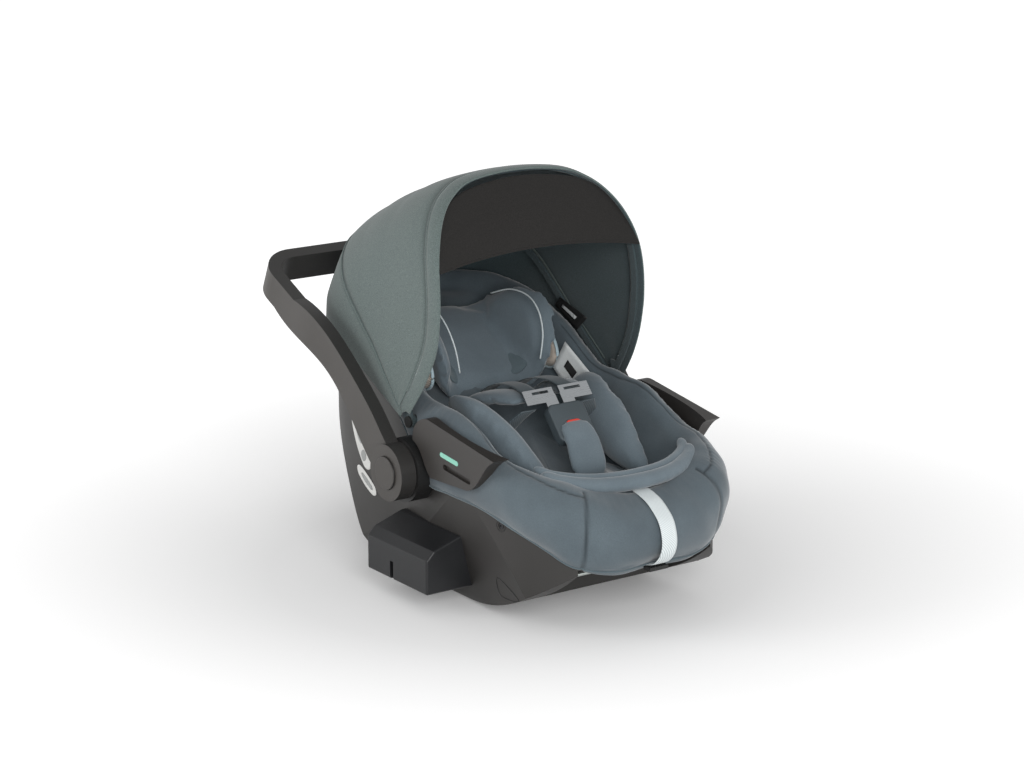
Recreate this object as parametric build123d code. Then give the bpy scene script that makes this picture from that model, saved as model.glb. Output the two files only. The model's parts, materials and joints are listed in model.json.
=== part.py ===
from build123d import *
import os
from math import atan2, cos, degrees, radians, sin

# Infant car seat with a swinging carry handle, a folding hood and a five-point harness.
# Millimetres. X is across the seat (the occupant's right is -X), Y runs from the foot end
# (-Y) to the head end (+Y), Z is up and zero on the floor. While it is built, y = 0 lies on
# the handle's axis; every piece is moved along Y at the end, so that the origin is under the
# middle of the whole object.

# ---- driving dimensions ----
HUB_Z = 179.0          # height of the handle's axis
WALL = 3.0             # seat shell wall
SHELL_HALF = 178.0     # half width of the shell at its shoulders
RUNNER_IN = 105.0      # inner edge of a rocker runner
RUNNER_OUT = 133.0     # outer edge of a rocker runner
BELLY_Z = 28.0         # underside of the shell between the runners
LINER = 14.0           # foam liner thickness
COVER = 9.0            # padded cover thickness inside the bucket
COVER_OUT = 6.0        # how far the cover stands outside the shell
SEAT_HALF = 118.0      # half width of the seating space at its floor
NOTCH_TOP = 98.0       # top of the recess round the front anchor bar

ARM_IN = 198.0         # inner face of the handle's arms
ARM_T = 20.0           # thickness of the handle, measured across the seat
ARM_W = 42.0           # width of the handle, seen from the side
HANDLE_R = 416.0       # axis to the middle of the crossbar
HANDLE_LEAN = 58.0     # rest lean of the crossbar behind the vertical, degrees
HUB_R = 40.0           # handle hub disc
HUB_T = 24.0           # handle hub thickness
BUTTON_R = 23.5        # release button in the hub
BUTTON_TRAVEL = 4.0
PIVOT_R = 45.0         # fixed housing behind the handle hub
AXLE_R = 7.0           # pivot bolt of the handle
RUN = 0.4              # running clearance between parts that move on each other

HOOD_Y = 5.0           # hood pivot, from the handle's axis
HOOD_Z = 244.0         # hood pivot height
HOOD_HALF = 174.0      # half width of the hood
HOOD_R = 334.0         # hood pivot to the top of the front edge
HOOD_T = 3.0           # padded hood fabric
MID_R = 346.0          # hood pivot to the top of the middle bow
MID_ANGLE = 49.0       # middle bow behind the vertical, degrees
REAR_ANGLE = 65.0      # rear edge of the hood behind the vertical, degrees
RIM_BAND = 30.0        # width of the padded band along the hood's front edge

WEB_W = 25.0           # harness webbing
WEB_T = 1.6
PAD_W = 46.0           # shoulder pad
PAD_T = 11.0
BAR_R = 3.5            # base anchor bars
GAP = 0.6              # clear gap between soft pieces

PARTS = {}


# ---- helpers ----
def keep(name, shape):
    """Store one node; a list of shapes becomes one group of separate solids."""
    if isinstance(shape, (list, tuple)):
        solids = [s for item in shape for s in item.solids()]
    else:
        solids = list(shape.solids())
    PARTS[name] = solids[0] if len(solids) == 1 else Compound(children=solids)
    return PARTS[name]


def mirror_x(shape):
    return mirror(shape, about=Plane.YZ)


def keep_pair(name, shape):
    """Store a piece of the -X side as NAME_right and its mirror image as NAME_left."""
    keep(name + "_right", shape)
    keep(name + "_left", mirror_x(shape))


def outline(runs):
    """A closed face from runs of points: a run of two is straight, a longer run is a smooth curve."""
    edges = []
    for i, run in enumerate(runs):
        nxt = runs[(i + 1) % len(runs)][0]
        pts = list(run) + [nxt]
        edges.append(Line(*pts) if len(pts) == 2 else Spline(*pts))
    return make_face(edges)


def side_prism(face, x0, x1):
    """Extrude a side-view (y, z) face from x0 to x1."""
    placed = Plane(origin=(x0, 0, 0), x_dir=(0, 1, 0), z_dir=(1, 0, 0)) * face
    return extrude(placed, amount=x1 - x0, dir=(1, 0, 0))


def front_prism(face, y0, y1):
    """Extrude a front-view (x, z) face from y0 to y1."""
    placed = Plane(origin=(0, y0, 0), x_dir=(1, 0, 0), z_dir=(0, -1, 0)) * face
    return extrude(placed, amount=y1 - y0, dir=(0, 1, 0))


def plan_prism(face, z0, z1):
    """Extrude a plan-view (x, y) face from z0 to z1."""
    return extrude(Pos(0, 0, z0) * face, amount=z1 - z0, dir=(0, 0, 1))


def rod(a, b, r):
    """A round rod from point a to point b."""
    a, b = Vector(*a), Vector(*b)
    plane = Plane(origin=a, z_dir=(b - a))
    return extrude(plane * Circle(r), amount=(b - a).length)


def disc_x(y, z, x0, x1, r):
    """A disc whose axis runs along X."""
    return rod((x0, y, z), (x1, y, z), r)


def inset(runs, t):
    """Move every point of an outline inwards by t (outwards if negative)."""
    points = [Vector(*p) for run in runs for p in run]
    n = len(points)
    area = sum(points[i].X * points[(i + 1) % n].Y - points[(i + 1) % n].X * points[i].Y for i in range(n))
    sign = 1 if area > 0 else -1
    moved = []
    for i in range(n):
        before = (points[i] - points[i - 1]).normalized()
        after = (points[(i + 1) % n] - points[i]).normalized()
        bisector = Vector(-(before.Y + after.Y), before.X + after.X) * sign
        stretch = t * 2 / max(bisector.length ** 2, 0.6)
        moved.append((points[i].X + bisector.X * stretch, points[i].Y + bisector.Y * stretch))
    result, k = [], 0
    for run in runs:
        result.append(moved[k:k + len(run)])
        k += len(run)
    return result


# ---- outlines of the seat ----
# Side view (y, z) of the shell: the flat rocker bottom, the curve up to the foot end, the rim
# and the back of the shell.
SHELL_SIDE = [
    [(100, 0)],
    [(-62, 0), (-120, 7), (-190, 28), (-255, 60)],
    [(-312, 104)],
    [(-322, 150), (-262, 186), (-190, 212), (-110, 226), (-45, 240), (27, 268), (83, 303), (159, 341), (240, 357)],
    [(330, 352), (318, 275), (280, 185), (227, 98), (179, 34), (145, 10)],
]
# Front view (x, z) of the shell, one half from the middle of the belly to the top.
SHELL_FRONT = [(RUNNER_OUT, 0), (154, 42), (169, 104), (SHELL_HALF, 170), (SHELL_HALF - 4, 240), (168, 310), (160, 400)]
# Plan view (x, y) of the shell, one half from the foot end to the head end.
SHELL_PLAN = [(0, -332), (70, -322), (128, -282), (164, -222), (SHELL_HALF, -140), (SHELL_HALF - 3, -65),
              (SHELL_HALF - 14, 10), (SHELL_HALF - 20, 110), (144, 215), (114, 296), (60, 335), (0, 344)]


def front_face(t, floor_z, runners):
    """The shell's front-view section, t mm inside its outer skin."""
    side = [(x - t, z) for x, z in SHELL_FRONT]
    half_floor = [(RUNNER_IN - 7 + t / 2, floor_z)]
    if runners:
        half_floor += [(RUNNER_IN + t, t)]
    side[0] = (RUNNER_OUT - t, t)
    if not runners:
        side = [(x, z) for x, z in side if z > floor_z + 6]
        side.insert(0, (side[0][0] - 8, floor_z))
    runs = [[p] for p in half_floor] + [side] + [[(-side[-1][0], side[-1][1])]]
    left_side = [(-x, z) for x, z in reversed(side)][1:]
    runs[-1] = [(-side[-1][0], side[-1][1])] + left_side
    runs += [[(-x, z)] for x, z in reversed(half_floor)]
    return outline(runs)


def plan_face(half, t):
    """A plan-view face from a half outline, t mm inside it."""
    loop = half[:-1] + [(-x, y) for x, y in reversed(half)][:-1]
    return make_face(Spline(*inset([loop], t)[0], periodic=True))


def bucket(side_runs, side_inset, front, plan):
    """The solid common to a side, a front and a plan outline."""
    body = side_prism(outline(inset(side_runs, side_inset)), -260, 260)
    return body & front_prism(front, -420, 420) & plan_prism(plan, -20, 480)


def open_top(side_runs, by):
    """The same side outline with its rim lifted, so that a hollow runs out of the top."""
    lifted = list(side_runs)
    lifted[3] = [(y, z + by) for y, z in side_runs[3]]
    first, *rest = side_runs[4]
    lifted[4] = [(first[0], first[1] + by)] + rest
    return lifted


def belly_notch(t):
    """The recess under the foot end that leaves room round the front anchor bar, grown by t."""
    top = NOTCH_TOP + t
    side = Polygon((-400, 0), (-400, top), (-236, top), (-205 + t, 62), (-205 + t, 0), align=None)
    return side_prism(side, -NOTCH_HALF - t, NOTCH_HALF + t)


def shell_solid(t):
    body = bucket(SHELL_SIDE, t, front_face(t, BELLY_Z + t, True), plan_face(SHELL_PLAN, t))
    return body - belly_notch(t)


# Side view (y, z) of the seating space: over the foot end, along the seat and up the back.
SPACE_SIDE = [
    [(-440, 90)],
    [(-352, 128), (-338, 156), (-312, 176), (-284, 186)],
    [(-262, 166), (-200, 148), (-137, 144), (-80, 150), (-20, 182), (70, 234), (170, 293), (262, 334)],
    [(318, 392)],
    [(318, 520)],
    [(-440, 520)],
]
SPACE_FRONT = [(SEAT_HALF - 30, 60), (SEAT_HALF - 24, 140), (SEAT_HALF, 175), (SEAT_HALF + 20, 215), (SEAT_HALF + 28, 260),
               (SEAT_HALF + 28, 520)]
SPACE_PLAN = [(0, -330), (50, -322), (96, -288), (122, -226), (142, -140), (144, -60), (140, 20), (134, 110), (122, 200),
              (98, 262), (54, 296), (0, 306)]


def space_solid(t):
    """The seating space grown outwards by t, open at the top."""
    side = outline(inset([r for r in SPACE_SIDE], -t))
    half = [(x + t, z) for x, z in SPACE_FRONT]
    loop = half + [(-x, z) for x, z in reversed(half)]
    body = side_prism(side, -260, 260) & front_prism(Polygon(*loop, align=None), -420, 420)
    return body & plan_prism(plan_face(SPACE_PLAN, -t), -20, 560)


def leg_gap():
    """The dip in the middle of the foot end, where the legs lie over the rim."""
    dip = Polygon((-64, 100), (-64, 168), (-100, 212), (-112, 300), (112, 300), (100, 212), (64, 168), (64, 100), align=None)
    return side_prism(outline(SPACE_SIDE), -260, 260) & front_prism(dip, -420, -230)


# Side view (y, z) of the cover where it is seen from outside: the hem, the padded foot end and
# the rim up to the head end.
COVER_SIDE = [
    [(338, 330)],
    [(240, 330), (150, 305), (70, 262), (22, 226), (-16, 186), (-46, 170)],
    [(-191, 165), (-240, 153), (-285, 128), (-314, 96)],
    [(-334, 100), (-350, 120), (-354, 142), (-346, 172), (-326, 205), (-297, 232), (-255, 247), (-200, 243), (-110, 242),
     (-45, 256), (20, 282), (83, 316), (159, 354), (249, 371)],
    [(344, 365)],
]
COVER_PLAN = [(0, -354), (70, -345), (130, -310), (168, -250), (SHELL_HALF + COVER_OUT, -160), (SHELL_HALF + COVER_OUT, -70),
              (SHELL_HALF - 10, 8), (SHELL_HALF - 16, 110), (150, 218), (120, 302), (64, 345), (0, 354)]


# ---- hood ----
def hood_plane(angle):
    """The plane through the hood's pivot axis at an angle behind the vertical."""
    a = radians(angle)
    return Plane(origin=(0, HOOD_Y, HOOD_Z), x_dir=(1, 0, 0), z_dir=(0, -cos(a), sin(a)))


def hood_arch(radius, inward, leg_start):
    """Half of the hood's section in such a plane: a splayed leg that turns into a broad arch."""
    half, power, shoulder = HOOD_HALF - inward, 2.8, 0.48 * radius
    rise = radius - inward - shoulder
    arch = []
    for step in (0, 26, 42, 56, 72, 90):
        c, s = cos(radians(step)), sin(radians(step))
        arch.append((half * max(c, 0) ** (2 / power), shoulder + rise * s ** (2 / power)))
    arch[-1] = (0, shoulder + rise)
    return [(half + 10, leg_start), (half + 5, 0.25 * radius)] + arch


def hood_band(radius, skin_in, skin_out, leg_start):
    """A closed U-shaped face between two depths below the hood's outer surface."""
    outer = hood_arch(radius, skin_in, leg_start)
    inner = hood_arch(radius, skin_out, leg_start)
    outer_loop = [(-x, r) for x, r in outer] + [p for p in reversed(outer[:-1])]
    inner_loop = inner + [(-x, r) for x, r in reversed(inner[:-1])]
    return outline([outer_loop[:-1], [outer_loop[-1]], inner_loop[:-1], [inner_loop[-1]]])


HOOD_STATIONS = [(-38, HOOD_R), (-12, HOOD_R), (6, HOOD_R - 1), (20, HOOD_R - 9), (35, HOOD_R - 3), (MID_ANGLE, MID_R)]
# Side view of the hood's front edge, from the pivot to the top.
HOOD_FRONT = [(16, 226), (2, 250), (-32, 300), (-55, 350), (-63, 400), (-59, 450), (-43, 500), (-14, 550), (26, 600)]


def hood_loft(stations, skin_in, skin_out, leg_start=16):
    faces = [hood_plane(angle) * hood_band(radius, skin_in, skin_out, leg_start) for angle, radius in stations]
    return loft(faces)


def behind_front(start, stop):
    """The region between two copies of the hood's front edge, start and stop mm behind it."""
    near = [(y + start, z) for y, z in HOOD_FRONT]
    far = [(y + stop, z) for y, z in reversed(HOOD_FRONT)]
    return side_prism(outline([near[:-1], [near[-1]], far[:-1], [far[-1]]]), -240, 240)


# ---- shell, pan, liner and cover ----
SCREW_AT = [(-202, 146), (150, 190), (252, 262)]     # (y, z) of the shell screws on each side
SCREW_R = 4.5
BAR_FRONT = (-250, 74)       # (y, z) of the front anchor bar
BAR_REAR = (118, 22)         # (y, z) of the rear anchor bar
BAR_SPAN = {BAR_FRONT: 99.0, BAR_REAR: 82.0}   # half of each bar's free span between its brackets
BRACKET_T = 9.0              # bar bracket thickness
JOURNAL_R = 3.0              # reduced ends of the bars, held in the brackets
NOTCH_HALF = 112.0           # half width of the recess in the belly round the front bar
BOX_Y = (-106, 44)           # adapter housing, foot-end and head-end faces
BOX_Z = (31, 92)             # adapter housing, underside and top of its outer face
BOX_OUT = 226.0              # outer face of the adapter housing
SOCKET = (22, 64, 44)        # adapter socket across, along and deep
LATCH_W = 14.0               # adapter latch, across the seat
BOX_ROUND = 3.0              # rounded edges of the adapter housing
SLOT_Y = -18.0               # slot in the adapter housing's outer face


def shell_parts():
    outer = shell_solid(0)
    hollow = bucket(open_top(SHELL_SIDE, 120), WALL, front_face(WALL, BELLY_Z + WALL, True), plan_face(SHELL_PLAN, WALL))
    hollow = hollow - belly_notch(WALL)
    shell = outer - hollow
    holes = [disc_x(y, z, -200, -60, SCREW_R + 0.3) for y, z in SCREW_AT]
    axle_hole = disc_x(0, HUB_Z, -200, -150, AXLE_R + 0.1)
    for cut in holes + [axle_hole]:
        shell = shell - cut - mirror_x(cut)
    return outer, hollow, shell


def tub_parts(outer, hollow, shell):
    """The moulded seat pan, the foam liner in it and the padded cover over both."""
    rim_cut = side_prism(outline(SHELL_SIDE), -260, 260)
    void = space_solid(0) + leg_gap()
    liner_in, liner_out = space_solid(COVER), space_solid(COVER + LINER)
    pan_out = space_solid(COVER + LINER + 2.5)
    inside = hollow & rim_cut
    pan = (pan_out & inside) - liner_out
    liner = (liner_out & inside) - liner_in
    wrap = bucket(COVER_SIDE, 0, front_prism_face(), plan_face(COVER_PLAN, 0))
    cover = (wrap + (liner_in & inside)) - void - (outer - hollow) - liner - pan
    return pan, liner, cover


def front_prism_face():
    half = [(SHELL_HALF + COVER_OUT - 4, 80), (SHELL_HALF + COVER_OUT, 165), (SHELL_HALF + COVER_OUT - 2, 215),
            (SHELL_HALF - 12, 250), (158, 400)]
    loop = half + [(-x, z) for x, z in reversed(half)]
    return Polygon(*loop, align=None)


def biggest(shape):
    """The largest solid of a shape, without the crumbs that a cut leaves."""
    return max(shape.solids(), key=lambda s: s.volume)


# ---- handle ----
def handle_arm_face():
    """Side view of one arm: the hub disc and the arm that rises and leans back from it."""
    a = radians(90 - HANDLE_LEAN)
    tip = Vector(HANDLE_R * cos(a), HUB_Z + HANDLE_R * sin(a))
    lie = radians(24)
    along, up = Vector(cos(lie), sin(lie)), Vector(-sin(lie), cos(lie))
    end = tip - along * 66
    low, high = end - up * (ARM_W / 2), end + up * (ARM_W / 2)
    back = [(40, HUB_Z - 2), (56, 192), (96, 236), (154, 287), (low.X - 34, low.Y - 20)]
    front = [(high.X - 38, high.Y - 17), (150, 338), (92, 297), (40, 254), (-8, 207), (-34, HUB_Z + 6)]
    arm = outline([back, [(low.X, low.Y)], [(high.X, high.Y)], front])
    return arm, tip, along, up


def handle_frame():
    arm_face, tip, along, up = handle_arm_face()
    right = side_prism(arm_face, -ARM_IN - ARM_T, -ARM_IN) + disc_x(0, HUB_Z, -ARM_IN - HUB_T, -ARM_IN, HUB_R)
    reach = 66 + ARM_T / 2
    plane = Plane(origin=(0, (tip - along * 66).X, (tip - along * 66).Y), x_dir=(1, 0, 0),
                  z_dir=(0, up.X, up.Y))
    outer = RectangleRounded(2 * (ARM_IN + ARM_T), 2 * reach, 56)
    inner = RectangleRounded(2 * ARM_IN, 2 * (reach - ARM_T), 36)
    bow = (outer - inner) & Pos(0, reach / 2) * Rectangle(500, reach)
    bow = extrude(plane * bow, amount=ARM_W / 2, both=True)
    axle = disc_x(0, HUB_Z, -ARM_IN - HUB_T - 1, -ARM_IN + 1, AXLE_R + 0.05)
    pocket = disc_x(0, HUB_Z, -ARM_IN - HUB_T - 1, -ARM_IN - 7, BUTTON_R + RUN)
    return right + mirror_x(right) + bow - axle - mirror_x(axle) - pocket - mirror_x(pocket)


def hub_button():
    """The round lock button: a cap with a hollow back that takes the return spring."""
    outer_x = -ARM_IN - HUB_T - 3
    cap = fillet(disc_x(0, HUB_Z, outer_x, outer_x + 12, BUTTON_R).edges().group_by(Axis.X)[0], 1.2)
    return cap - disc_x(0, HUB_Z, outer_x + 3, outer_x + 13, BUTTON_R - 3)


def button_spring():
    coil_r, wire_r = AXLE_R + 7, 0.8
    floor_x = -ARM_IN - 7
    path = Helix(pitch=3.0, height=14.6, radius=coil_r)
    wire = sweep(Plane(origin=path @ 0, z_dir=path % 0) * Circle(wire_r), path=path)
    return Pos(floor_x - 1.1, 0, HUB_Z) * Rot(0, -90, 0) * wire


def handle_axle():
    """The pivot bolt: a round head in the hub pocket, and the shank through to the shell."""
    head_x = -ARM_IN - 7 - RUN
    head = disc_x(0, HUB_Z, head_x - 3.4, head_x, AXLE_R + 4)
    return head + disc_x(0, HUB_Z, head_x, -152, AXLE_R)


# ---- pieces on the sides of the shell ----
GUIDE_SIDE = [
    [(-20, 226), (-25, 246), (-40, 259)],
    [(-60, 263)],
    [(-216, 241)],
    [(-206, 235), (-188, 216), (-168, 194)],
    [(-152, 186)],
    [(-64, 182), (-50, 197), (-38, 214)],
]
MARKER = (-110, 220, 44, 7)  # (y, z) of the belt marker's middle, its length and its height
GUIDE_SLOT = (-128, 203, 66, 8)


def tilted_slot(spec, x0, x1):
    """A round-ended bar shape that follows the fall of the belt guide."""
    y, z, length, height = spec
    face = Pos(y, z) * Rot(0, 0, 6) * SlotOverall(length, height)
    return side_prism(face, x0, x1)


def belt_guide(outer):
    body = side_prism(outline(GUIDE_SIDE), -SHELL_HALF - 13, -SHELL_HALF + 12)
    body = body - plan_prism(plan_face(SHELL_PLAN, -0.2), 0, 400)
    return biggest(body - tilted_slot(MARKER, -260, -SHELL_HALF - 11) - tilted_slot(GUIDE_SLOT, -260, -SHELL_HALF - 8))


def guide_marker():
    y, z, length, height = MARKER
    return tilted_slot((y, z, length - 0.4, height - 0.4), -SHELL_HALF - 13.4, -SHELL_HALF - 11)


def pivot_housing(outer):
    drum = disc_x(0, HUB_Z, -ARM_IN + 0.6, -150, PIVOT_R)
    return biggest(drum - outer - disc_x(0, HUB_Z, -230, -100, AXLE_R + 0.1))


def adapter_housing(outer):
    (y0, y1), (z0, z1) = BOX_Y, BOX_Z
    end = [(-140, z0), (-BOX_OUT, z0), (-BOX_OUT, z1 - 12), (-BOX_OUT + 12, z1), (-172, z1 + 14), (-140, z1 + 14)]
    body = front_prism(Polygon(*end, align=None), y0, y1)
    body = fillet(body.edges().filter_by(lambda edge: edge.center().X < -160), BOX_ROUND)
    across, along, deep = SOCKET
    middle = (y0 + y1) / 2
    socket = Pos(-BOX_OUT + 10 + across / 2, middle, z0 + deep / 2 - 1) * Box(across, along, deep + 2)
    slot = Pos(-BOX_OUT, SLOT_Y, z0 + 12) * Box(10, 8, 28)
    window = Pos(-BOX_OUT + 10 + across / 2, middle + along / 2 + 8, z0 + 20) * Box(LATCH_W + 1, 18, 9)
    body = body - socket - slot - window
    return biggest(body - outer)


def adapter_latch():
    """A wedge-nosed latch that stands into the adapter socket and slides back out of it."""
    across, along, deep = SOCKET
    middle = (BOX_Y[0] + BOX_Y[1]) / 2
    tip_y = middle + along / 2 - 5
    side = [(tip_y, BOX_Z[0] + 24), (tip_y, BOX_Z[0] + 21), (tip_y + 6, BOX_Z[0] + 16.2), (tip_y + 16, BOX_Z[0] + 16.2),
            (tip_y + 16, BOX_Z[0] + 24)]
    x = -BOX_OUT + 10 + across / 2
    return side_prism(Polygon(*side, align=None), x - LATCH_W / 2, x + LATCH_W / 2)


def shell_screw(y, z, x_out):
    head = disc_x(y, z, x_out, x_out + 2.4, SCREW_R)
    socket = disc_x(y, z, x_out - 1, x_out + 1.2, 2.0)
    return head + disc_x(y, z, x_out + 2.4, x_out + 11, 2.2) - socket


def screw_pair(outer, y, z):
    """The two screws at one place, with their heads just under the shell's skin."""
    probe = outer & disc_x(y, z, -200, -60, 0.5)
    skin = probe.bounding_box().min.X
    screw = shell_screw(y, z, skin + 0.3)
    return [screw, mirror_x(screw)]


def anchor_bar(spec):
    y, z = spec
    span = BAR_SPAN[spec]
    end = span + BRACKET_T
    return rod((-span, y, z), (span, y, z), BAR_R) + rod((-end, y, z), (end, y, z), JOURNAL_R)


def bar_bracket(outer, spec, side):
    """A bearing block that carries one end of an anchor bar under the shell."""
    y, z = spec
    ceiling = NOTCH_TOP if spec == BAR_FRONT else BELLY_Z
    low = z - BAR_R - 3
    x = side * (BAR_SPAN[spec] + BRACKET_T / 2 + 0.2)
    block = Pos(x, y, (low + ceiling) / 2) * Box(BRACKET_T, 22, ceiling - low)
    return biggest(block - rod((x - 10, y, z), (x + 10, y, z), JOURNAL_R + 0.1) - outer)


# ---- release lever at the back of the shell ----
LEVER_AT = (300, 232)        # (y, z) on the back of the shell
LEVER_TILT = 23.0            # lean of the back of the shell there, degrees
LEVER = (88, 26, 9)          # lever across, along and thick


def lever_plane():
    a = radians(LEVER_TILT)
    y, z = LEVER_AT
    return Plane(origin=(0, y, z), x_dir=(1, 0, 0), z_dir=(0, cos(a), -sin(a)))


def lever_parts(outer):
    across, along, thick = LEVER
    housing = lever_plane() * (Pos(0, 0, 2) * Box(across + 24, along + 28, 28))
    pocket = lever_plane() * (Pos(0, 0, 12) * Box(across + 4, along + 14, 14))
    lever = lever_plane() * (Pos(0, 4, 6 + thick / 2) * Box(across, along, thick))
    lip = lever_plane() * (Pos(0, 4 + along / 2 - 3, 8 + thick) * Box(across - 20, 5, 8))
    return biggest(housing - pocket - outer), lever + lip


# ---- harness ----
BACK_ORIGIN = (-20, 183)     # (y, z) where the back of the seat begins, in the middle
BACK_SLOPE = 30.3            # slope of the back, degrees
BUCKLE_AT = (-124, 243)      # (y, z) middle of the buckle
BUCKLE_LEAN = 49.0           # lean of the buckle's long axis above the horizontal, degrees
BUCKLE = (60, 58, 17)        # buckle across, along and thick
CROTCH_FOOT = (-196, 158)    # (y, z) where the crotch strap comes out of the seat
SHOULDER_X = 27.0            # middle of a shoulder strap
SHOULDER_PATH = [(66, 216), (54, 238), (34, 260), (0, 277), (-46, 284), (-92, 275)]
PAD_PATH = [(35, 259.5), (0, 277), (-46, 284), (-78, 280)]


def back_plane():
    a = radians(BACK_SLOPE)
    return Plane(origin=(0, *BACK_ORIGIN), x_dir=(1, 0, 0), z_dir=(0, -sin(a), cos(a)))


def buckle_plane():
    a = radians(BUCKLE_LEAN)
    return Plane(origin=(0, *BUCKLE_AT), x_dir=(1, 0, 0), z_dir=(0, -sin(a), cos(a)))


def ribbon(path, thick, x0, x1):
    """A band of even thickness along a side-view path, from x0 to x1."""
    points = [Vector(*p) for p in path]
    low, high = [], []
    for i, p in enumerate(points):
        before = points[max(i - 1, 0)]
        after = points[min(i + 1, len(points) - 1)]
        d = (after - before).normalized()
        n = Vector(-d.Y, d.X) * (thick / 2)
        low.append(((p - n).X, (p - n).Y))
        high.append(((p + n).X, (p + n).Y))
    high.reverse()
    return side_prism(outline([low[:-1], [low[-1]], high[:-1], [high[-1]]]), x0, x1)


def soft_block(across, along, thick, corner):
    """A flat pad with rounded corners and softened edges, lying in the XY plane."""
    pad = extrude(RectangleRounded(across, along, corner), amount=thick / 2, both=True)
    return fillet(pad.edges().group_by(Axis.Z)[0] + pad.edges().group_by(Axis.Z)[-1], thick * 0.4)


def harness_parts():
    across, along, thick = BUCKLE
    frame = buckle_plane()
    x0, x1 = SHOULDER_X - WEB_W / 2, SHOULDER_X + WEB_W / 2
    shoulder = ribbon(SHOULDER_PATH, WEB_T, -x1, -x0)
    sleeve = ribbon(SHOULDER_PATH, WEB_T + 2 * GAP, -x1 - GAP, -x0 + GAP)
    pad = ribbon(PAD_PATH, PAD_T, -SHOULDER_X - PAD_W / 2 - 1, -SHOULDER_X + PAD_W / 2 - 1) - sleeve
    keep_pair("shoulder_strap", shoulder)
    keep_pair("shoulder_pad", pad)

    body = extrude(RectangleRounded(across, along, 9), amount=thick / 2, both=True)
    body = fillet(body.edges().group_by(Axis.Z)[0] + body.edges().group_by(Axis.Z)[-1], 3)
    mouth = Pos(0, along / 2 - 8, 0) * Box(across - 6, 20, 4)
    well = Pos(0, -6, thick / 2) * extrude(SlotOverall(27, 15), amount=7, both=True)
    foot = Pos(0, -along / 2, 0) * Box(WEB_W + 1, 14, WEB_T + 1)
    keep("buckle_body", frame * (body - mouth - well - foot))
    button = Pos(0, -6, thick / 2 - 3) * extrude(SlotOverall(26.2, 14.2), amount=4.5)
    keep("buckle_button", frame * fillet(button.edges().group_by(Axis.Z)[-1], 1.0))
    blade = Pos(-14, along / 2 + 4, 0) * Box(20, 28, 2.4)
    head = Pos(-30, along / 2 + 18, 0) * Box(50, 22, 2.4)
    eye_shoulder = Pos(-SHOULDER_X, along / 2 + 23, 0) * Box(WEB_W + 2, 4, 6)
    keep_pair("buckle_tongue", frame * (blade + head - eye_shoulder))

    strap_dir = Vector(BUCKLE_AT[0] - CROTCH_FOOT[0], BUCKLE_AT[1] - CROTCH_FOOT[1]).normalized()
    top = Vector(*BUCKLE_AT) - strap_dir * (along / 2 - 6)
    bottom = Vector(*CROTCH_FOOT) - strap_dir * 50
    path = [(top.X, top.Y), (bottom.X, bottom.Y)]
    keep("crotch_strap", ribbon(path, WEB_T, -WEB_W / 2, WEB_W / 2))
    slot = ribbon([(top.X, top.Y), (bottom.X - strap_dir.X * 60, bottom.Y - strap_dir.Y * 60)], WEB_T + 3,
                  -WEB_W / 2 - 1.5, WEB_W / 2 + 1.5)
    low = Vector(*CROTCH_FOOT) + strap_dir * 10
    high = Vector(*BUCKLE_AT) - strap_dir * (along / 2 + 3)
    pad_middle, pad_length = (low + high) * 0.5, (high - low).length
    tilt = degrees(atan2(strap_dir.Y, strap_dir.X))
    crotch_plane = Plane(origin=(0, pad_middle.X, pad_middle.Y), x_dir=(1, 0, 0),
                         z_dir=(0, -sin(radians(tilt)), cos(radians(tilt))))
    keep("crotch_pad", crotch_plane * soft_block(58, pad_length, 13, 16) - slot)
    anchor = Plane(origin=(0, bottom.X, bottom.Y), x_dir=(1, 0, 0),
                   z_dir=(0, strap_dir.X, strap_dir.Y)) * (Pos(0, 0, -1.4) * Box(44, 16, 2.4))
    keep("crotch_anchor", anchor)
    lap = [(-66, 178), (-84, 216), (-99, 262)]
    lap_strap = ribbon(lap, WEB_T, -50 - WEB_W / 2, -50 + WEB_W / 2)
    keep_pair("lap_strap", lap_strap)
    return slot, sleeve


def adjuster_parts():
    """The tightening unit under the insert's front lip, and the strap that hangs over the foot end."""
    y, z = -262, 158
    pocket = Pos(0, y, z + 4) * Box(48, 38, 34)
    housing = Pos(0, y, z) * Box(44, 34, 22) - Pos(0, y + 2, z + 6) * Box(27, 17, 14)
    button = Pos(0, y + 2, z + 8) * Box(26, 16, 10)
    keep("adjuster_housing", housing)
    keep("adjuster_button", fillet(button.edges().group_by(Axis.Z)[-1], 1.5))
    path = [(-283, 188.4), (-300, 183.4), (-317.4, 176), (-340.8, 157.6), (-355.6, 128.8), (-353, 116), (-337.6, 97.6),
            (-314, 93)]
    keep("adjuster_strap", ribbon(path, WEB_T, -WEB_W / 2, WEB_W / 2))
    keep("strap_end_clip", Pos(0, -321, 88.6) * Box(WEB_W + 6, 14, 5))
    return pocket


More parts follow.
